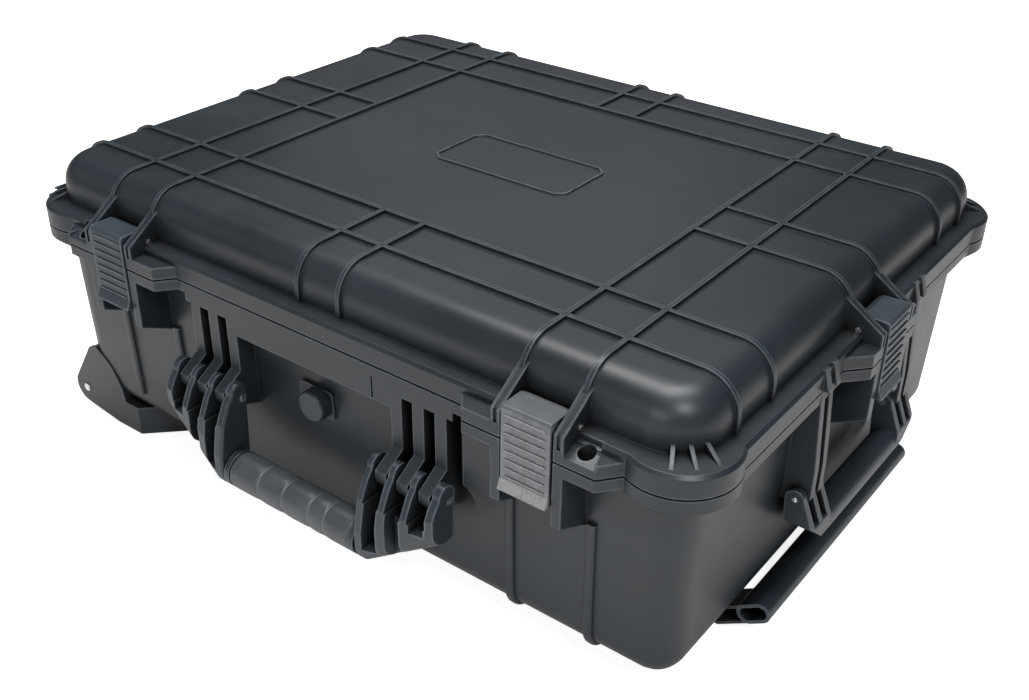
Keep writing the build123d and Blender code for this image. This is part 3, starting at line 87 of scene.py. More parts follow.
# ------------------------------------------------------------------ shader helpers
class Sock:
    """A shader socket on which Python arithmetic adds Math nodes."""

    def __init__(self, owner, socket):
        self.owner = owner
        self.socket = socket

    def _math(self, operation, other=0.0, clamp=False):
        settings = {"operation": operation, "use_clamp": clamp}
        return self.owner.node("ShaderNodeMath", settings, {0: self, 1: other})[0]

    def __add__(self, other):
        return self._math("ADD", other)

    __radd__ = __add__

    def __mul__(self, other):
        return self._math("MULTIPLY", other)

    __rmul__ = __mul__

    def __sub__(self, other):
        return self._math("SUBTRACT", other)

    def __rsub__(self, other):
        return (self * -1.0) + other

    def __abs__(self):
        return self._math("ABSOLUTE")

    def minimum(self, other):
        return self._math("MINIMUM", other)

    def maximum(self, other):
        return self._math("MAXIMUM", other)

    def clamped(self):
        """The value held between 0 and 1."""
        return self._math("ADD", 0.0, clamp=True)

    def smooth(self, low, high):
        """0 below low, 1 above high and a smooth step between."""
        values = {"Value": self, "From Min": low, "From Max": high}
        settings = {"interpolation_type": "SMOOTHSTEP", "clamp": True}
        return self.owner.node("ShaderNodeMapRange", settings, values)[0]


class NodeTree:
    """An emptied node tree and the one way to add a node to it."""

    def __init__(self, tree):
        self.tree = tree
        self.tree.nodes.clear()

    def node(self, kind, settings=None, values=None):
        """Adds a node, sets its settings, then its sockets, and returns its outputs."""
        made = self.tree.nodes.new(kind)
        for key, value in (settings or {}).items():
            setattr(made, key, value)
        for key, value in (values or {}).items():
            self.feed(made.inputs[key], value)
        return [Sock(self, socket) for socket in made.outputs if socket.enabled]

    def feed(self, socket, value):
        """Links a Sock to an input, or sets the input to a plain value."""
        if isinstance(value, Sock):
            self.tree.links.new(value.socket, socket)
        else:
            socket.default_value = value


class Shader(NodeTree):
    """One material: a node tree with a Principled surface."""

    def __init__(self, name):
        self.material = bpy.data.materials.new(name)
        self.material.use_nodes = True
        super().__init__(self.material.node_tree)
        self.surface = self.tree.nodes.new("ShaderNodeBsdfPrincipled")
        self.output = self.tree.nodes.new("ShaderNodeOutputMaterial")
        self.tree.links.new(self.surface.outputs[0], self.output.inputs["Surface"])

    def set(self, **values):
        """Sets or links inputs of the surface, with underscores for spaces."""
        for key, value in values.items():
            self.feed(self.surface.inputs[key.replace("_", " ")], value)

    def bump(self, height, strength, distance, rounding=0.0):
        """Gives the surface relief from a height, over edges rounded by a radius."""
        values = {"Strength": strength, "Distance": distance, "Height": height}
        if rounding:
            values["Normal"] = self.soft_edges(rounding)
        self.set(Normal=self.node("ShaderNodeBump", {}, values)[0])

    def shade(self, share):
        """Fades the surface to plain black by a share, for places that light can't reach."""
        black = self.node("ShaderNodeBsdfDiffuse", {}, {"Color": (0, 0, 0, 1)})[0]
        surface = Sock(self, self.surface.outputs[0])
        mixed = self.node("ShaderNodeMixShader", {}, {0: share, 1: surface, 2: black})[0]
        self.feed(self.output.inputs["Surface"], mixed)

    def mix(self, factor, first, second):
        """Colour that goes from the first to the second by a factor."""
        values = {"Factor": factor, 6: first, 7: second}
        return self.node("ShaderNodeMix", {"data_type": "RGBA"}, values)[0]

    def place(self):
        """Object coordinates."""
        return self.node("ShaderNodeTexCoord")[3]

    def axes(self):
        """X, Y and Z of the object coordinates."""
        return self.node("ShaderNodeSeparateXYZ", {}, {"Vector": self.place()})

    def noise(self, scale, detail, roughness):
        """Cloudy noise around 0.5, with a scale in cells per metre."""
        values = {
            "Vector": self.place(), "Scale": scale, "Detail": detail, "Roughness": roughness,
        }
        return self.node("ShaderNodeTexNoise", {}, values)[0]

    def cells(self, scale):
        """Distance to the nearest of the scattered cell centres, in cell widths."""
        values = {"Vector": self.place(), "Scale": scale}
        return self.node("ShaderNodeTexVoronoi", {"feature": "F1"}, values)[0]

    def soft_edges(self, radius):
        """Normal that rounds sharp edges by a radius."""
        return self.node("ShaderNodeBevel", {"samples": 6}, {"Radius": radius})[0]

    def sharp_edges(self, radius, low, high):
        """1 where an edge is sharper than the radius: the rounded normal against the true one."""
        rounded = self.soft_edges(radius)
        true = self.node("ShaderNodeNewGeometry")[1]
        settings = {"operation": "DOT_PRODUCT"}
        agreement = self.node("ShaderNodeVectorMath", settings, {0: rounded, 1: true})[-1]
        return 1.0 - agreement.smooth(low, high)

    def openness(self, reach):
        """Share of the view around a place that is free of surfaces within a reach."""
        return self.node("ShaderNodeAmbientOcclusion", {"samples": 8}, {"Distance": reach})[1]

    def ridges(self, reach):
        """Share of the view into the solid that its own skin stops: high on ribs and edges."""
        settings = {"samples": 8, "inside": True, "only_local": True}
        inward = self.node("ShaderNodeAmbientOcclusion", settings, {"Distance": reach})[1]
        return 1.0 - inward


def grey(value, cool=0.0):
    """A near-neutral colour that leans to blue by a share."""
    return (value * (1 - cool), value, value * (1 + cool), 1.0)


# ------------------------------------------------------------------ hard finishes
SPARK = 1500.0                   # grains of the spark texture per metre
CORNER_REACH = 24.0 * MM         # how far a closed-in place looks for what closes it in
RIB_REACH = 2.2 * MM             # depth to which a rib or an edge is looked for
EDGE_ROUND = 0.9 * MM
FRONT_LATCH_X = sum(corner[0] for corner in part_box("latch_lever_front_right")) / 2
PARTING_HALF = (0.12 * MM, 0.35 * MM)     # half widths of the parting line, core and fade
PARTING_HEIGHT = 6.0             # height of the parting line, in grains of the texture

LIP_REACH = 3.4 * MM             # how far the lever's lip stands out from its face
LIP_HEIGHT = 7.5 * MM
LIP_FADE = 1.0 * MM
RIDGE_DEPTH = 1.0 * MM
LEVER_SHADED_TOP = 2.4 * MM             # band of painted shade at the top of the lever, and its fade
LEVER_SHADED_TOP_FADE = 1.8 * MM


def parting_line(shader):
    """1 along the moulds' parting line down the middle of each latch lever.

    The distance is the lesser of those to the front latches' middle planes and to Y 0.
    """
    x, y = shader.axes()[:2]
    off_front = abs(abs(x) - FRONT_LATCH_X)
    return 1.0 - off_front.minimum(abs(y)).smooth(*PARTING_HALF)


def moulded_plastic(name, tone, rough, grain=0.35, wear_and_highlight=0.5, cool=0.30, parting=False):
    """Moulded polypropylene: fine spark texture, cloudy sheen, rubs, pale edges, painted shade.

    Tone is the plain grey and grain the depth of the texture. The share of pale on edges is part
    wear and part painted highlight, and cool is the lean to blue. An edge is pale by its share of
    ridge, times how open the place is, times a patchy noise. Closed-in places get painted shade:
    a darker, duller surface that fades to black.
    """
    shader = Shader(name)
    cloud = shader.noise(6.0, detail=5.0, roughness=0.65).smooth(0.38, 0.64)
    spark = shader.noise(SPARK, detail=2.0, roughness=0.6)
    patch = shader.noise(70.0, detail=3.0, roughness=0.7)
    rub = shader.noise(26.0, detail=5.0, roughness=0.75).smooth(0.60, 0.80)
    rub = rub * patch.smooth(0.45, 0.7)
    open_share = shader.openness(CORNER_REACH)
    edges = shader.ridges(RIB_REACH).smooth(0.15, 0.42) * open_share.smooth(0.40, 0.7)
    # Pale edges: part wear, part painted highlight on the ridges and edges that catch the light.
    worn_and_highlit = edges * (patch.smooth(0.25, 0.75) * 0.7 + 0.3) * wear_and_highlight
    base = shader.mix(cloud, grey(tone * 0.86, cool), grey(tone * 1.14, cool))
    base = shader.mix(rub * 0.35, base, grey(tone * 2.6, cool * 0.6))
    base = shader.mix(worn_and_highlit, base, grey(tone * 3.0 + 0.065, cool * 0.6))
    # Painted shade: the colour darkens to near black in closed-in places.
    base = shader.mix(open_share.smooth(0.18, 0.62), grey(tone * 0.06), base)
    dull = 1.0 - open_share.smooth(0.15, 0.55)
    shader.set(
        Base_Color=base,
        Roughness=cloud * 0.06 + rough + 0.005 + patch * 0.06 + rub * 0.08 + dull * 0.5,
    )
    # Painted shade: closed-in places fade to a plain black surface.
    shader.shade(0.85 - open_share.smooth(0.12, 0.46) * 0.85)
    height = spark + parting_line(shader) * PARTING_HEIGHT if parting else spark
    shader.bump(height, grain, 0.10 * MM, EDGE_ROUND)
    return shader.material


def lever_in_painted_light(name, node):
    """Latch lever painted paler than the others, as painted reflection, with a grained face.

    Ridge tops and lip are palest, as painted highlight, and the top is dark, as painted shade. A
    place's share of that highlight comes from how far it stands out from the face and from its
    height on the lever.
    """
    low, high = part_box(node)
    face = low[1] + LIP_REACH
    shader = Shader(name)
    _, y, z = shader.axes()[:3]
    ridge = 1.0 - y.smooth(face - 0.9 * RIDGE_DEPTH, face - 0.3 * RIDGE_DEPTH)
    lip = 1.0 - z.smooth(low[2] + LIP_HEIGHT - LIP_FADE, low[2] + LIP_HEIGHT)
    top = z.smooth(high[2] - LEVER_SHADED_TOP, high[2] - LEVER_SHADED_TOP + LEVER_SHADED_TOP_FADE)
    spark = shader.noise(SPARK, detail=2.0, roughness=0.6)
    patch = shader.noise(160.0, detail=4.0, roughness=0.7)
    grain = spark.smooth(0.35, 0.65)
    # Painted reflection: the whole lever is painted paler than the other levers.
    base = shader.mix(grain * 0.6 + patch.smooth(0.35, 0.7) * 0.4,
                      grey(0.085, 0.08), grey(0.25, 0.05))
    # Painted highlight: ridge tops and the lip are painted pale.
    painted_highlight = shader.mix(grain, grey(0.20, 0.03), grey(0.34, 0.02))
    base = shader.mix(ridge.maximum(lip) * 0.85, base, painted_highlight)
    # Painted shade: the top band of the lever is painted dark.
    base = shader.mix(top * 0.8, base, grey(0.045, 0.15))
    base = shader.mix(parting_line(shader) * 0.5, base, grey(0.05))
    # Painted shade: closed-in places darken to near black.
    base = shader.mix(shader.openness(10.0 * MM).smooth(0.2, 0.7), grey(0.004), base)
    shader.set(Base_Color=base, Roughness=patch * 0.1 + 0.42)
    shader.bump(spark, 0.9, 0.12 * MM, 0.8 * MM)
    return shader.material


def bright_steel(name):
    """Turned stainless pin: a finely mottled tone and a soft highlight."""
    shader = Shader(name)
    fine = shader.noise(400.0, detail=2.0, roughness=0.5)
    shader.set(
        Base_Color=shader.mix(fine.smooth(0.3, 0.7), grey(0.55), grey(0.75)),
        Metallic=1.0,
        Roughness=fine * 0.12 + 0.22,
        Normal=shader.soft_edges(0.3 * MM),
    )
    return shader.material


def coated_arm(name):
    """Black coated metal with the coating rubbed through along its edges."""
    shader = Shader(name)
    streak = shader.noise(90.0, detail=3.0, roughness=0.6)
    edges = shader.sharp_edges(0.8 * MM, 0.75, 0.985)
    bare = (edges * streak.smooth(0.2, 0.55)).clamped()
    shader.set(
        Base_Color=shader.mix(bare, grey(0.016, 0.1), grey(0.6)),
        Metallic=bare,
        Roughness=0.40 - bare * 0.12,
        Normal=shader.soft_edges(0.5 * MM),
    )
    return shader.material


# ------------------------------------------------------------------ soft finishes
def soft_rubber(name, tone, rough=0.62, cool=0.0, rings=()):
    """Matte rubber, a fine dusty bloom in patches, and a ring of painted highlight at each given
    X.
    """
    shader = Shader(name)
    bloom = shader.noise(35.0, detail=4.0, roughness=0.6)
    fine = shader.noise(1400.0, detail=2.0, roughness=0.5)
    scuff = shader.noise(90.0, detail=4.0, roughness=0.75).smooth(0.58, 0.78)
    base = shader.mix(bloom.smooth(0.35, 0.7), grey(tone, cool), grey(tone * 1.5, cool))
    base = shader.mix(scuff * 0.4, base, grey(tone * 2.8, cool))
    # Painted highlight: a pale ring at each given X.
    for ring in rings:
        off = abs(shader.axes()[0] - ring)
        base = shader.mix(0.5 - off.smooth(0.1 * MM, 0.6 * MM) * 0.5, base, grey(0.24, 0.05))
    shader.set(Base_Color=base, Roughness=bloom * 0.12 + rough + scuff * 0.08)
    shader.bump(fine, 0.4, 0.1 * MM, 0.6 * MM)
    return shader.material


def open_foam(name, tone):
    """Open-cell foam: dense small pores with painted shade inside, with a dusty nap on top."""
    shader = Shader(name)
    pores = shader.cells(520.0) * 0.7 + shader.cells(190.0) * 0.3
    broad = shader.noise(14.0, detail=3.0, roughness=0.6)
    # Painted shade: each pore darkens towards its middle.
    skin = shader.mix(pores.smooth(0.08, 0.55), grey(tone * 0.45), grey(tone * 1.3))
    shader.set(
        Base_Color=shader.mix(broad.smooth(0.4, 0.7) * 0.35, skin, grey(tone * 1.9)),
        Roughness=broad * 0.05 + 0.9,
        Specular_IOR_Level=0.2,
        Sheen_Weight=0.15,
    )
    shader.bump(pores, 0.8, 0.7 * MM)
    return shader.material


# ------------------------------------------------------------------ mesh helpers
def lattice(rows, columns, closed=False, start=0):
    """Quads of a grid of points, row by row; closed joins its last column to its first."""
    index = np.arange(rows * columns).reshape(rows, columns) + start
    if closed:
        index = np.concatenate([index, index[:, :1]], axis=1)
    return np.stack(
        [index[:-1, :-1], index[:-1, 1:], index[1:, 1:], index[1:, :-1]], axis=-1,
    ).reshape(-1, 4)


def piece(name, points, quads, material, body, caps=()):
    """Object from an array of points, an array of quads and lists of cap loops."""
    mesh = bpy.data.meshes.new(name)
    faces = quads.tolist() + [list(map(int, cap)) for cap in caps]
    mesh.from_pydata(points.reshape(-1, 3).tolist(), [], faces)
    mesh.shade_smooth()
    mesh.materials.append(material)
    made = bpy.data.objects.new(name, mesh)
    scene.collection.objects.link(made)
    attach(made, body)
    return made


def box_of(name):
    """Lowest and highest corner of a CAD node as arrays."""
    low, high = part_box(name)
    return np.array(low), np.array(high)


def round_rectangle(centre, half, corner, count):
    """Points around a rectangle with round corners, evenly spaced by arc length."""
    angles = np.linspace(0, np.pi / 2, 13)
    corners = []
    for turn, (sx, sy) in enumerate(((1, 1), (-1, 1), (-1, -1), (1, -1))):
        swept = angles + turn * np.pi / 2
        corners.append(np.stack([
            sx * (half[0] - corner) + corner * np.cos(swept),
            sy * (half[1] - corner) + corner * np.sin(swept),
        ], axis=-1))
    path = np.concatenate(corners + [corners[0][:1]])
    run = np.concatenate([[0], np.cumsum(np.hypot(*np.diff(path, axis=0).T))])
    even = np.linspace(0, run[-1], count, endpoint=False)
    return np.stack([np.interp(even, run, path[:, axis]) for axis in (0, 1)], axis=-1) + centre


def ripple(points, size, seed):
    """Smooth uneven push at points: a sum of six sines of seeded directions and phases."""
    maker = np.random.default_rng(seed)
    push = np.zeros(points.shape[:-1])
    for _ in range(6):
        wave = maker.normal(size=3) * 2 * np.pi / size
        push += np.sin(points @ wave + maker.uniform(0, 2 * np.pi))
    return push / 6


# ------------------------------------------------------------------ foam tray
TRAY_SPLIT = 180.5 * MM          # X of the cut between the two blocks of the tray
TRAY_CUT = 0.2 * MM              # half the width of that cut
TRAY_INSET = 0.5 * MM            # how far the foam's skin lies inside its solid
TRAY_TOP_INSET = 0.8 * MM
LAPTOP_POCKET = (-219.4 * MM, 170.6 * MM, 56.0 * MM)      # from X, to X, depth
CHARGER_POCKET = (190.6 * MM, 254.6 * MM, 96.0 * MM)
POCKET_HALF_Y = 140.0 * MM
POCKET_CORNER = 5.0 * MM
TIGHTEST_CORNER = 1.2 * MM
LAPTOP_BLOCK_CORNER = 20.0 * MM
CHARGER_BLOCK_CORNER = 16.0 * MM

FOOT_INSET = 4.0 * MM            # the block's foot is drawn in by this
FOOT_RISE = 2.0 * MM
RIM_ROUND = 3.2 * MM             # radius of the rim's edges
RIM_CROWN = 0.6 * MM             # rise of the rim between its edges
POCKET_ROUND = 2.0 * MM          # radius at the foot of the pocket's walls
WALL_MARGIN = 6.0 * MM           # plain walls stop this far from a rounded edge
WALL_START = 12.0 * MM
FLOOR_STEPS = (10.0 * MM, 22.0 * MM, 32.0 * MM)
RIPPLE_SIZE = 45.0 * MM
RIPPLE_RISE = 0.5 * MM
WALL_CALM = 0.25                 # share of the ripple on walls and edges
RING_POINTS = 320


def foam_block(outer, pocket, levels, seed):
    """Foam block with a pocket: rings from its foot, over its crowned rim, into the pocket.

    Each ring is a blend of the outer outline and the pocket's by a share, drawn in by an
    inset, at a height. The rim's edges follow quarter circles, and every height moves by a
    small seeded ripple. An outline is a centre, a pair of half sizes and a corner radius.
    """
    foot, top, floor = levels
    bend = np.linspace(0, np.pi / 2, 6)
    rings = [(0.0, -FOOT_INSET, foot), (0.0, 0.0, foot + FOOT_RISE)]
    outer_wall = np.linspace(foot + WALL_START, top - RIM_ROUND - WALL_MARGIN, 7)
    rings += [(0.0, 0.0, z) for z in outer_wall]
    rings += [(0.0, -RIM_ROUND * (1 - np.cos(t)), top - RIM_ROUND * (1 - np.sin(t)))
              for t in bend]
    rings += [(t, 0.0, top + RIM_CROWN * np.sin(np.pi * t)) for t in np.linspace(0, 1, 9)[1:-1]]
    rings += [(1.0, RIM_ROUND * (1 - np.sin(t)), top - RIM_ROUND * (1 - np.cos(t)))
              for t in bend]
    pocket_wall = np.linspace(top - RIM_ROUND - WALL_MARGIN, floor + WALL_MARGIN, 9)
    rings += [(1.0, 0.0, z) for z in pocket_wall]
    rings += [(1.0, -POCKET_ROUND * (1 - np.cos(t)), floor + POCKET_ROUND * (1 - np.sin(t)))
              for t in bend]
    rings += [(1.0, -step, floor) for step in FLOOR_STEPS]
    grid = []
    for share, inset, height in rings:
        out_inset, in_inset = (inset, 0.0) if share == 0 else (0.0, inset)
        in_corner = max(pocket[2] + min(in_inset, 0), TIGHTEST_CORNER)
        out = round_rectangle(outer[0], outer[1] + out_inset, outer[2], RING_POINTS)
        into = round_rectangle(pocket[0], pocket[1] + in_inset, in_corner, RING_POINTS)
        spot = out * (1 - share) + into * share
        grid.append(np.column_stack([spot, np.full(RING_POINTS, height)]))
    points = np.array(grid)
    loose = np.array([1.0 if 0 < share < 1 or height == floor else WALL_CALM
                      for share, _, height in rings])
    points[..., 2] += ripple(points, RIPPLE_SIZE, seed) * RIPPLE_RISE * loose[:, None]
    first = np.arange(RING_POINTS)
    last = first + (len(rings) - 1) * RING_POINTS
    return points, lattice(len(rings), RING_POINTS, closed=True), (first[::-1], last)


def make_tray(material):
    """The upper foam: one block around the laptop pocket and one around the charger pocket."""
    low, high = box_of("base_foam_tray")
    middle_y = (low[1] + high[1]) / 2
    half_y = (high[1] - low[1]) / 2 - TRAY_INSET
    blocks = (
        # from X, to X, corner, pocket, seed
        (low[0] + TRAY_INSET, TRAY_SPLIT - TRAY_CUT, LAPTOP_BLOCK_CORNER, LAPTOP_POCKET, 3),
        (TRAY_SPLIT + TRAY_CUT, high[0] - TRAY_INSET, CHARGER_BLOCK_CORNER, CHARGER_POCKET, 5),
    )
    for index, (start, end, corner, (left, right, depth), seed) in enumerate(blocks):
        outer = (np.array([(start + end) / 2, middle_y]),
                 np.array([(end - start) / 2, half_y]), corner)
        pocket = (np.array([(left + right) / 2, middle_y]),
                  np.array([(right - left) / 2, POCKET_HALF_Y]), POCKET_CORNER)
        levels = (low[2] + TRAY_INSET, high[2] - TRAY_TOP_INSET, high[2] - depth)
        points, quads, caps = foam_block(outer, pocket, levels, seed)
        made = piece(f"tray_foam_{index + 1}", points, quads, material, "base", caps)
        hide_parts("base_foam_tray")


# ------------------------------------------------------------------ foam slabs
SLAB_INSET = 0.6 * MM            # how far a slab's outline lies inside its solid
LID_FOAM_CORNER = 28.0 * MM
LID_FOAM_GAP = 0.8 * MM          # from the solid's lowest face to the deepest hollow's level
LID_FOAM_EDGE = 8.0 * MM         # height of the egg-crate face at its outline
LID_FOAM_BACK = 17.0 * MM        # how far the back falls at its outline
LID_FOAM_BACK_REACH = 19.0 * MM
CRATE_PITCH = 38.5 * MM          # from cone to cone
CRATE_MEAN = 10.0 * MM
CRATE_SWING = 9.0 * MM
CRATE_REACH = 10.0 * MM
PAD_CORNER = 20.0 * MM
PAD_GAP = 0.4 * MM
PAD_CROWN = 3.0 * MM
PAD_REACH = 6.0 * MM


def pillow_grid(low, high, corner, columns, rows):
    """Grid over a rectangle whose corner squares are squeezed onto quarter discs.

    In each corner square an offset (a, b) from the disc centre keeps its direction, and its
    length becomes the larger of a and b.
    """
    x = np.linspace(low[0], high[0], columns)
    y = np.linspace(low[1], high[1], rows)
    x, y = np.meshgrid(x, y)
    centre_x = np.clip(x, low[0] + corner, high[0] - corner)
    centre_y = np.clip(y, low[1] + corner, high[1] - corner)
    off = np.stack([x - centre_x, y - centre_y])
    length = np.hypot(*off)
    keep = np.abs(off).max(axis=0) / np.maximum(length, 1e-9)
    keep = np.where((off[0] != 0) & (off[1] != 0), keep, 1.0)
    return centre_x + off[0] * keep, centre_y + off[1] * keep


def edge_share(x, y, low, high, corner, reach):
    """0 on the outline of the round rectangle, rising as a quarter circle to 1 a reach inside.

    The depth inside is the corner radius less the distance from the corner's centre in a
    corner square, and the lesser distance to a side elsewhere.
    """
    side_x = (high[0] - low[0]) / 2 - np.abs(x - (low[0] + high[0]) / 2)
    side_y = (high[1] - low[1]) / 2 - np.abs(y - (low[1] + high[1]) / 2)
    off_x = np.maximum(corner - side_x, 0)
    off_y = np.maximum(corner - side_y, 0)
    depth = np.where((off_x > 0) & (off_y > 0), corner - np.hypot(off_x, off_y),
                     np.minimum(side_x, side_y))
    t = np.clip(depth / reach, 0, 1)
    return np.sqrt(np.clip(1 - (1 - t) ** 2, 0, 1))


def foam_slab(name, node, body, corner, faces, material, spacing):
    """Closed slab of foam: a lower and an upper face over one grid, joined at the outline.

    Each face is a height over the grid, worked out by its own function, and both meet in a
    rounded edge.
    """
    low, high = box_of(node)
    low[:2] += SLAB_INSET
    high[:2] -= SLAB_INSET
    columns, rows = ((high - low)[:2] / spacing).astype(int)
    x, y = pillow_grid(low, high, corner, columns, rows)
    points = np.concatenate([
        np.stack([x, y, face(x, y, low, high)], axis=-1).reshape(-1, 3) for face in faces
    ])
    size = rows * columns
    index = np.arange(size).reshape(rows, columns)
    loop = np.concatenate([index[0, :-1], index[:-1, -1], index[-1, :0:-1], index[:0:-1, 0]])
    after = np.roll(loop, -1)
    wall = np.stack([loop, after, after + size, loop + size], axis=-1)
    quads = np.concatenate([
        lattice(rows, columns)[:, ::-1], lattice(rows, columns, start=size), wall,
    ])
    made = piece(name, points, quads, material, body)
    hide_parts(node)


def make_lid_foam(material):
    """Lid foam with an egg-crate face: rows of cones and hollows, sin(kx) times sin(ky)."""

    def crate(x, y, low, high):
        wave = np.sin(np.pi * 2 * x / CRATE_PITCH) * np.sin(np.pi * 2 * y / CRATE_PITCH)
        relief = CRATE_MEAN - CRATE_SWING * wave
        share = edge_share(x, y, low, high, LID_FOAM_CORNER, CRATE_REACH)
        return low[2] + LID_FOAM_GAP + LID_FOAM_EDGE * (1 - share) + relief * share

    def back(x, y, low, high):
        share = edge_share(x, y, low, high, LID_FOAM_CORNER, LID_FOAM_BACK_REACH)
        return high[2] - SLAB_INSET - LID_FOAM_BACK * (1 - share)

    foam_slab("lid_foam_crate", "lid_foam", "lid", LID_FOAM_CORNER, (crate, back), material,
              2.6 * MM)


def make_pad(material):
    """Flat foam layer under the tray, with both faces softly crowned."""

    def crown(x, y, low, high):
        share = edge_share(x, y, low, high, PAD_CORNER, PAD_REACH)
        return PAD_GAP + PAD_CROWN * (1 - share)

    def face(x, y, low, high):
        return low[2] + crown(x, y, low, high)

    def back(x, y, low, high):
        return high[2] - crown(x, y, low, high)

    foam_slab("foam_pad", "base_foam_pad", "base", PAD_CORNER, (face, back), material, 9.0 * MM)


# ------------------------------------------------------------------ handle grip
GRIP_RINGS = tuple(ring * MM for ring in (-30.0, -6.0, 19.0, 34.0))     # from the grip's middle
GRIP_CORE = 10.1 * MM            # radius of the bar's bore through the sleeve
GRIP_END_ROUND = 2.0 * MM
GROOVE_DEPTH = 0.9 * MM
GROOVE_HALF = 0.7 * MM
WAIST_DEPTH = 0.4 * MM           # shallow waist around each groove
WAIST_HALF = 4.0 * MM
GRIP_AROUND = 96                 # points around the sleeve


def make_grip(material):
    """Rubber sleeve: a radius that depends on X, turned around the bar.

    The radius is full, less a narrow and a wide bell curve at each ring groove, and falls by
    a quarter circle at both ends, down to the core.
    """
    low, high = box_of("front_handle_grip")
    middle = (low + high) / 2
    half, _, full = (high - low) / 2
    x = np.linspace(-half + GRIP_END_ROUND, half - GRIP_END_ROUND, 300)
    radius = np.full_like(x, full)
    for ring in GRIP_RINGS:
        radius -= GROOVE_DEPTH * np.exp(-((x - ring) / GROOVE_HALF) ** 2)
        radius -= WAIST_DEPTH * np.exp(-((x - ring) / WAIST_HALF) ** 2)
    bend = np.linspace(0, np.pi / 2, 7)[:-1]
    inset = GRIP_END_ROUND * (1 - np.sin(bend))
    rim = full - GRIP_END_ROUND * (1 - np.cos(bend))
    x = np.concatenate([[-half], -half + inset[::-1], x, half - inset, [half]])
    radius = np.concatenate([[GRIP_CORE], rim[::-1], radius, rim, [GRIP_CORE]])
    around = np.linspace(0, 2 * np.pi, GRIP_AROUND, endpoint=False)
    y = middle[1] + radius[:, None] * np.cos(around)
    z = middle[2] + radius[:, None] * np.sin(around)
    grid = np.stack([np.broadcast_to(x[:, None] + middle[0], y.shape), y, z], axis=-1)
    first = np.arange(GRIP_AROUND)
    last = first + (len(x) - 1) * GRIP_AROUND
    bore = np.stack([last, np.roll(last, -1), np.roll(first, -1), first], axis=-1)
    skin = np.concatenate([lattice(len(x), GRIP_AROUND, closed=True), bore])[:, ::-1]
    made = piece("handle_grip", grid, skin, material, "front_handle")
    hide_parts("front_handle_grip")


# ------------------------------------------------------------------ pin heads
FRONT_PIN_INNER = 64.0 * MM      # inner end of each front handle pin from the middle
FRONT_PIN_RADIUS = 2.4 * MM
END_PIN_RADIUS = 1.9 * MM
# The rest are shares of the pin's radius.
HEAD_DOME = 0.22
HEAD_SKIRT = 0.3
SLOT_DEPTH = 0.28
SLOT_HALF = 0.17
SLOT_SOFTNESS = 0.02
SLOT_REACH = 0.97
SLOT_TILT = math.radians(35)
HEAD_AROUND = 72                 # points around a pin head


def make_pin_head(name, place, axis, radius, material):
    """Domed pin end with a driver slot, as a height over a disc, in shares of its radius.

    Over polar points the height is a shallow dome, less the slot depth where the point lies
    within half the slot width of the slot's line. The outer ring drops to the skirt's foot.
    """
    share = np.concatenate([np.linspace(0.02, 0.94, 24), [0.985, 1.0, 1.0]])[:, None]
    turn = np.linspace(0, 2 * np.pi, HEAD_AROUND, endpoint=False)
    across = share * np.cos(turn)
    along = share * np.sin(turn)
    slot = 1 / (1 + np.exp((np.abs(across) - SLOT_HALF) / SLOT_SOFTNESS))
    height = HEAD_DOME * (1 - share ** 2) - SLOT_DEPTH * slot * (share < SLOT_REACH)
    height[-1] = -HEAD_SKIRT
    out = np.array(axis, dtype=float)
    right = np.array(Vector(axis).orthogonal().normalized())
    up = np.cross(out, right)
    right, up = (right * math.cos(SLOT_TILT) + up * math.sin(SLOT_TILT),
                 up * math.cos(SLOT_TILT) - right * math.sin(SLOT_TILT))
    grid = np.array(place) + radius * (
        across[..., None] * right + along[..., None] * up + height[..., None] * out)
    quads = lattice(len(share), HEAD_AROUND, closed=True)[:, ::-1]
    first = np.arange(HEAD_AROUND)
    caps = (first, (first + (len(share) - 1) * HEAD_AROUND)[::-1])
    piece(name, grid, quads, material, "base", caps)


def make_pin_heads(material):
    """Slotted ends on the inner ends of the front handle pins and on the end handle pins."""
    low, high = box_of("front_handle_pins")
    _, y, z = (low + high) / 2
    for side, name in ((-1, "left"), (1, "right")):
        make_pin_head(f"front_pin_head_{name}", (side * FRONT_PIN_INNER, y, z),
                      (-side, 0, 0), FRONT_PIN_RADIUS, material)
    low, high = box_of("end_handle_pins")
    x, _, z = (low + high) / 2
    for y, side, name in ((low[1], -1, "front"), (high[1], 1, "rear")):
        make_pin_head(f"end_pin_head_{name}", (x, y, z), (0, side, 0), END_PIN_RADIUS, material)


# ------------------------------------------------------------------ dressing
def dress(material, *names):
    """Gives one material to CAD nodes."""
    for name in names:
        data = nodes[name].data
        data.materials.clear()
        data.materials.append(material)


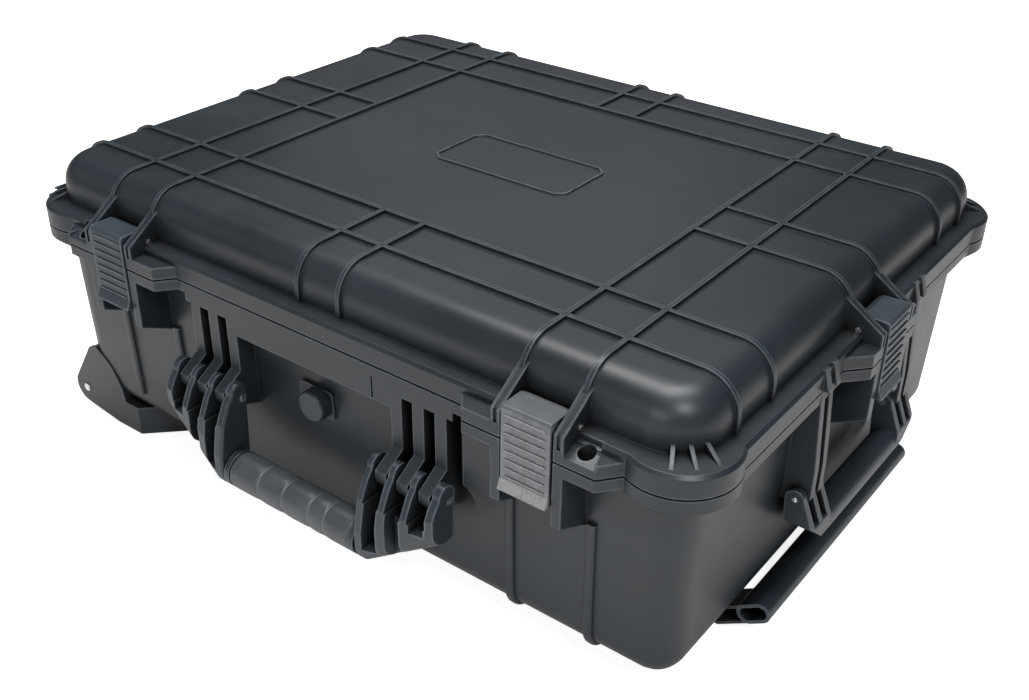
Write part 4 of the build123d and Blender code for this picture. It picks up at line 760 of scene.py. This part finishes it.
def dress_mouldings():
    """Finishes of the hard plastic nodes."""
    dress(moulded_plastic("shell_plastic", 0.016, 0.33, wear_and_highlight=0.8),
          "base_shell", "lid_shell", "trolley_guide",
          *[f"wheel_bracket_{side}" for side in SIDES])
    dress(moulded_plastic("latch_plastic", 0.030, 0.38, grain=0.7, wear_and_highlight=0.9, parting=True),
          *[f"latch_lever_{station}" for station in STATIONS],
          *[f"latch_hook_{station}" for station in STATIONS])
    # The front right lever gets its own copy, painted paler with painted reflection and
    # highlight.
    dress(lever_in_painted_light("latch_in_painted_light", "latch_lever_front_right"), "latch_lever_front_right")
    dress(moulded_plastic("handle_plastic", 0.026, 0.31, grain=0.3, wear_and_highlight=0.9),
          "front_handle_frame", "end_handle", "trolley_bar")
    dress(moulded_plastic("knob_plastic", 0.022, 0.34, wear_and_highlight=0.0),
          "purge_valve_body", "purge_valve_nut", "purge_valve_knob")
    dress(moulded_plastic("hub_plastic", 0.018, 0.4), *[f"wheel_hub_{side}" for side in SIDES])
    dress(moulded_plastic("bush_plastic", 0.5, 0.4, cool=0.0),
          *[f"wheel_bush_{side}" for side in SIDES])


def dress_metal(steel):
    """Finishes of the trolley's arms, and of the pins, axles and screws."""
    dress(coated_arm("arm_metal"), *[f"trolley_arm_{side}" for side in SIDES])
    dress(steel, "latch_pins", "hinge_pins", "front_handle_pins", "end_handle_pins",
          "wheel_axles", "wheel_bracket_screws", "trolley_guide_screws",
          *[f"latch_hook_pin_{station}" for station in STATIONS])


def dress_soft_nodes():
    """Seals and tyres, and the foam and the grip that stand for their solids."""
    dress(soft_rubber("seal_rubber", 0.012), "lid_gasket", "purge_valve_gasket")
    dress(soft_rubber("tyre_rubber", 0.02), *[f"wheel_tyre_{side}" for side in SIDES])
    foam = open_foam("foam", 0.030)
    make_tray(foam)
    make_lid_foam(foam)
    make_pad(foam)
    make_grip(soft_rubber("grip_rubber", 0.050, 0.33, cool=0.12, rings=GRIP_RINGS))


# ------------------------------------------------------------------ studio
FLOOR_HALF = 12.0
FLOOR_DROP = 0.5 * MM
FLOOR_GLOW = 0.86                # glow of the floor under the case
FLOOR_FADE = (0.6, 2.5)          # squared distances over which that glow rises to 1
MIRROR_GLOW = 0.06               # share of the glow that reflections see
WORLD_LEVEL = 0.085
LAMPS = {
    # name: place, target, size, watts
    "overhead": ((-0.2, 0.2, 2.4), (0, 0, 0.1), (1.6, 1.2), 70),
    "behind": ((-1.1, 1.5, 1.5), (0, 0, 0.2), (1.2, 0.9), 2.6),
    "front": ((0.1, -2.4, 1.0), (0, 0, 0.15), (1.2, 0.8), 14),
    "left": ((-1.9, -1.5, 1.2), (0, 0, 0.15), (1.2, 1.2), 2),
    "front_corner": ((1.35, -1.1, 1.9), (0.25, -0.2, 0.15), (0.20, 0.50), 26),
}
BLACK = (0, 0, 0, 1)
WHITE = (1, 1, 1, 1)


def make_floor():
    """Large pale floor: white to the camera, and a little darker in the case's shadow.

    Its own glow rises from FLOOR_GLOW under the case to full white a few steps away, and
    reflections see only the share MIRROR_GLOW of it.
    """
    mesh = bpy.data.meshes.new("studio_floor")
    corners = [(x * FLOOR_HALF, y * FLOOR_HALF, -FLOOR_DROP)
               for x, y in ((-1, -1), (1, -1), (1, 1), (-1, 1))]
    mesh.from_pydata(corners, [], [(0, 1, 2, 3)])
    floor = bpy.data.objects.new("studio_floor", mesh)
    scene.collection.objects.link(floor)
    shader = Shader("studio_floor")
    rays = shader.node("ShaderNodeLightPath")
    camera_ray, glossy_ray = rays[0], rays[3]
    x, y = shader.axes()[:2]
    away = (x * x + y * y).smooth(*FLOOR_FADE)
    glow = (away * (1.0 - FLOOR_GLOW) + FLOOR_GLOW) * (camera_ray + glossy_ray * MIRROR_GLOW)
    shader.set(Base_Color=(0.8, 0.8, 0.8, 1.0), Roughness=0.9, Specular_IOR_Level=0.0,
               Emission_Color=shader.mix(glow, BLACK, WHITE), Emission_Strength=1.0)
    mesh.materials.append(shader.material)


def area_light(name, place, target, size, power):
    """Soft rectangular lamp aimed at a target."""
    data = bpy.data.lights.new(name, "AREA")
    data.shape = "RECTANGLE"
    data.size, data.size_y = size
    data.energy = power
    lamp = bpy.data.objects.new(name, data)
    lamp.location = place
    lamp.rotation_euler = (Vector(target) - Vector(place)).to_track_quat("-Z", "Y").to_euler()
    scene.collection.objects.link(lamp)


def make_world():
    """Surroundings that are white to the camera and dimmed to WORLD_LEVEL for all else."""
    world = bpy.data.worlds.new("studio")
    scene.world = world
    world.use_nodes = True
    tree = NodeTree(world.node_tree)
    dim, bright = [
        tree.node("ShaderNodeBackground", {}, {"Color": WHITE, "Strength": strength})[0]
        for strength in (WORLD_LEVEL, 1.0)
    ]
    camera_ray = tree.node("ShaderNodeLightPath")[0]
    mixed = tree.node("ShaderNodeMixShader", {}, {0: camera_ray, 1: dim, 2: bright})[0]
    tree.node("ShaderNodeOutputWorld", {}, {"Surface": mixed})


def make_studio():
    """World light, lamps and floor."""
    make_world()
    for name, (place, target, size, power) in LAMPS.items():
        area_light(name, place, target, size, power)
    make_floor()


make_camera()
steel = bright_steel("steel_pin")
dress_mouldings()
dress_metal(steel)
dress_soft_nodes()
make_pin_heads(steel)
make_studio()
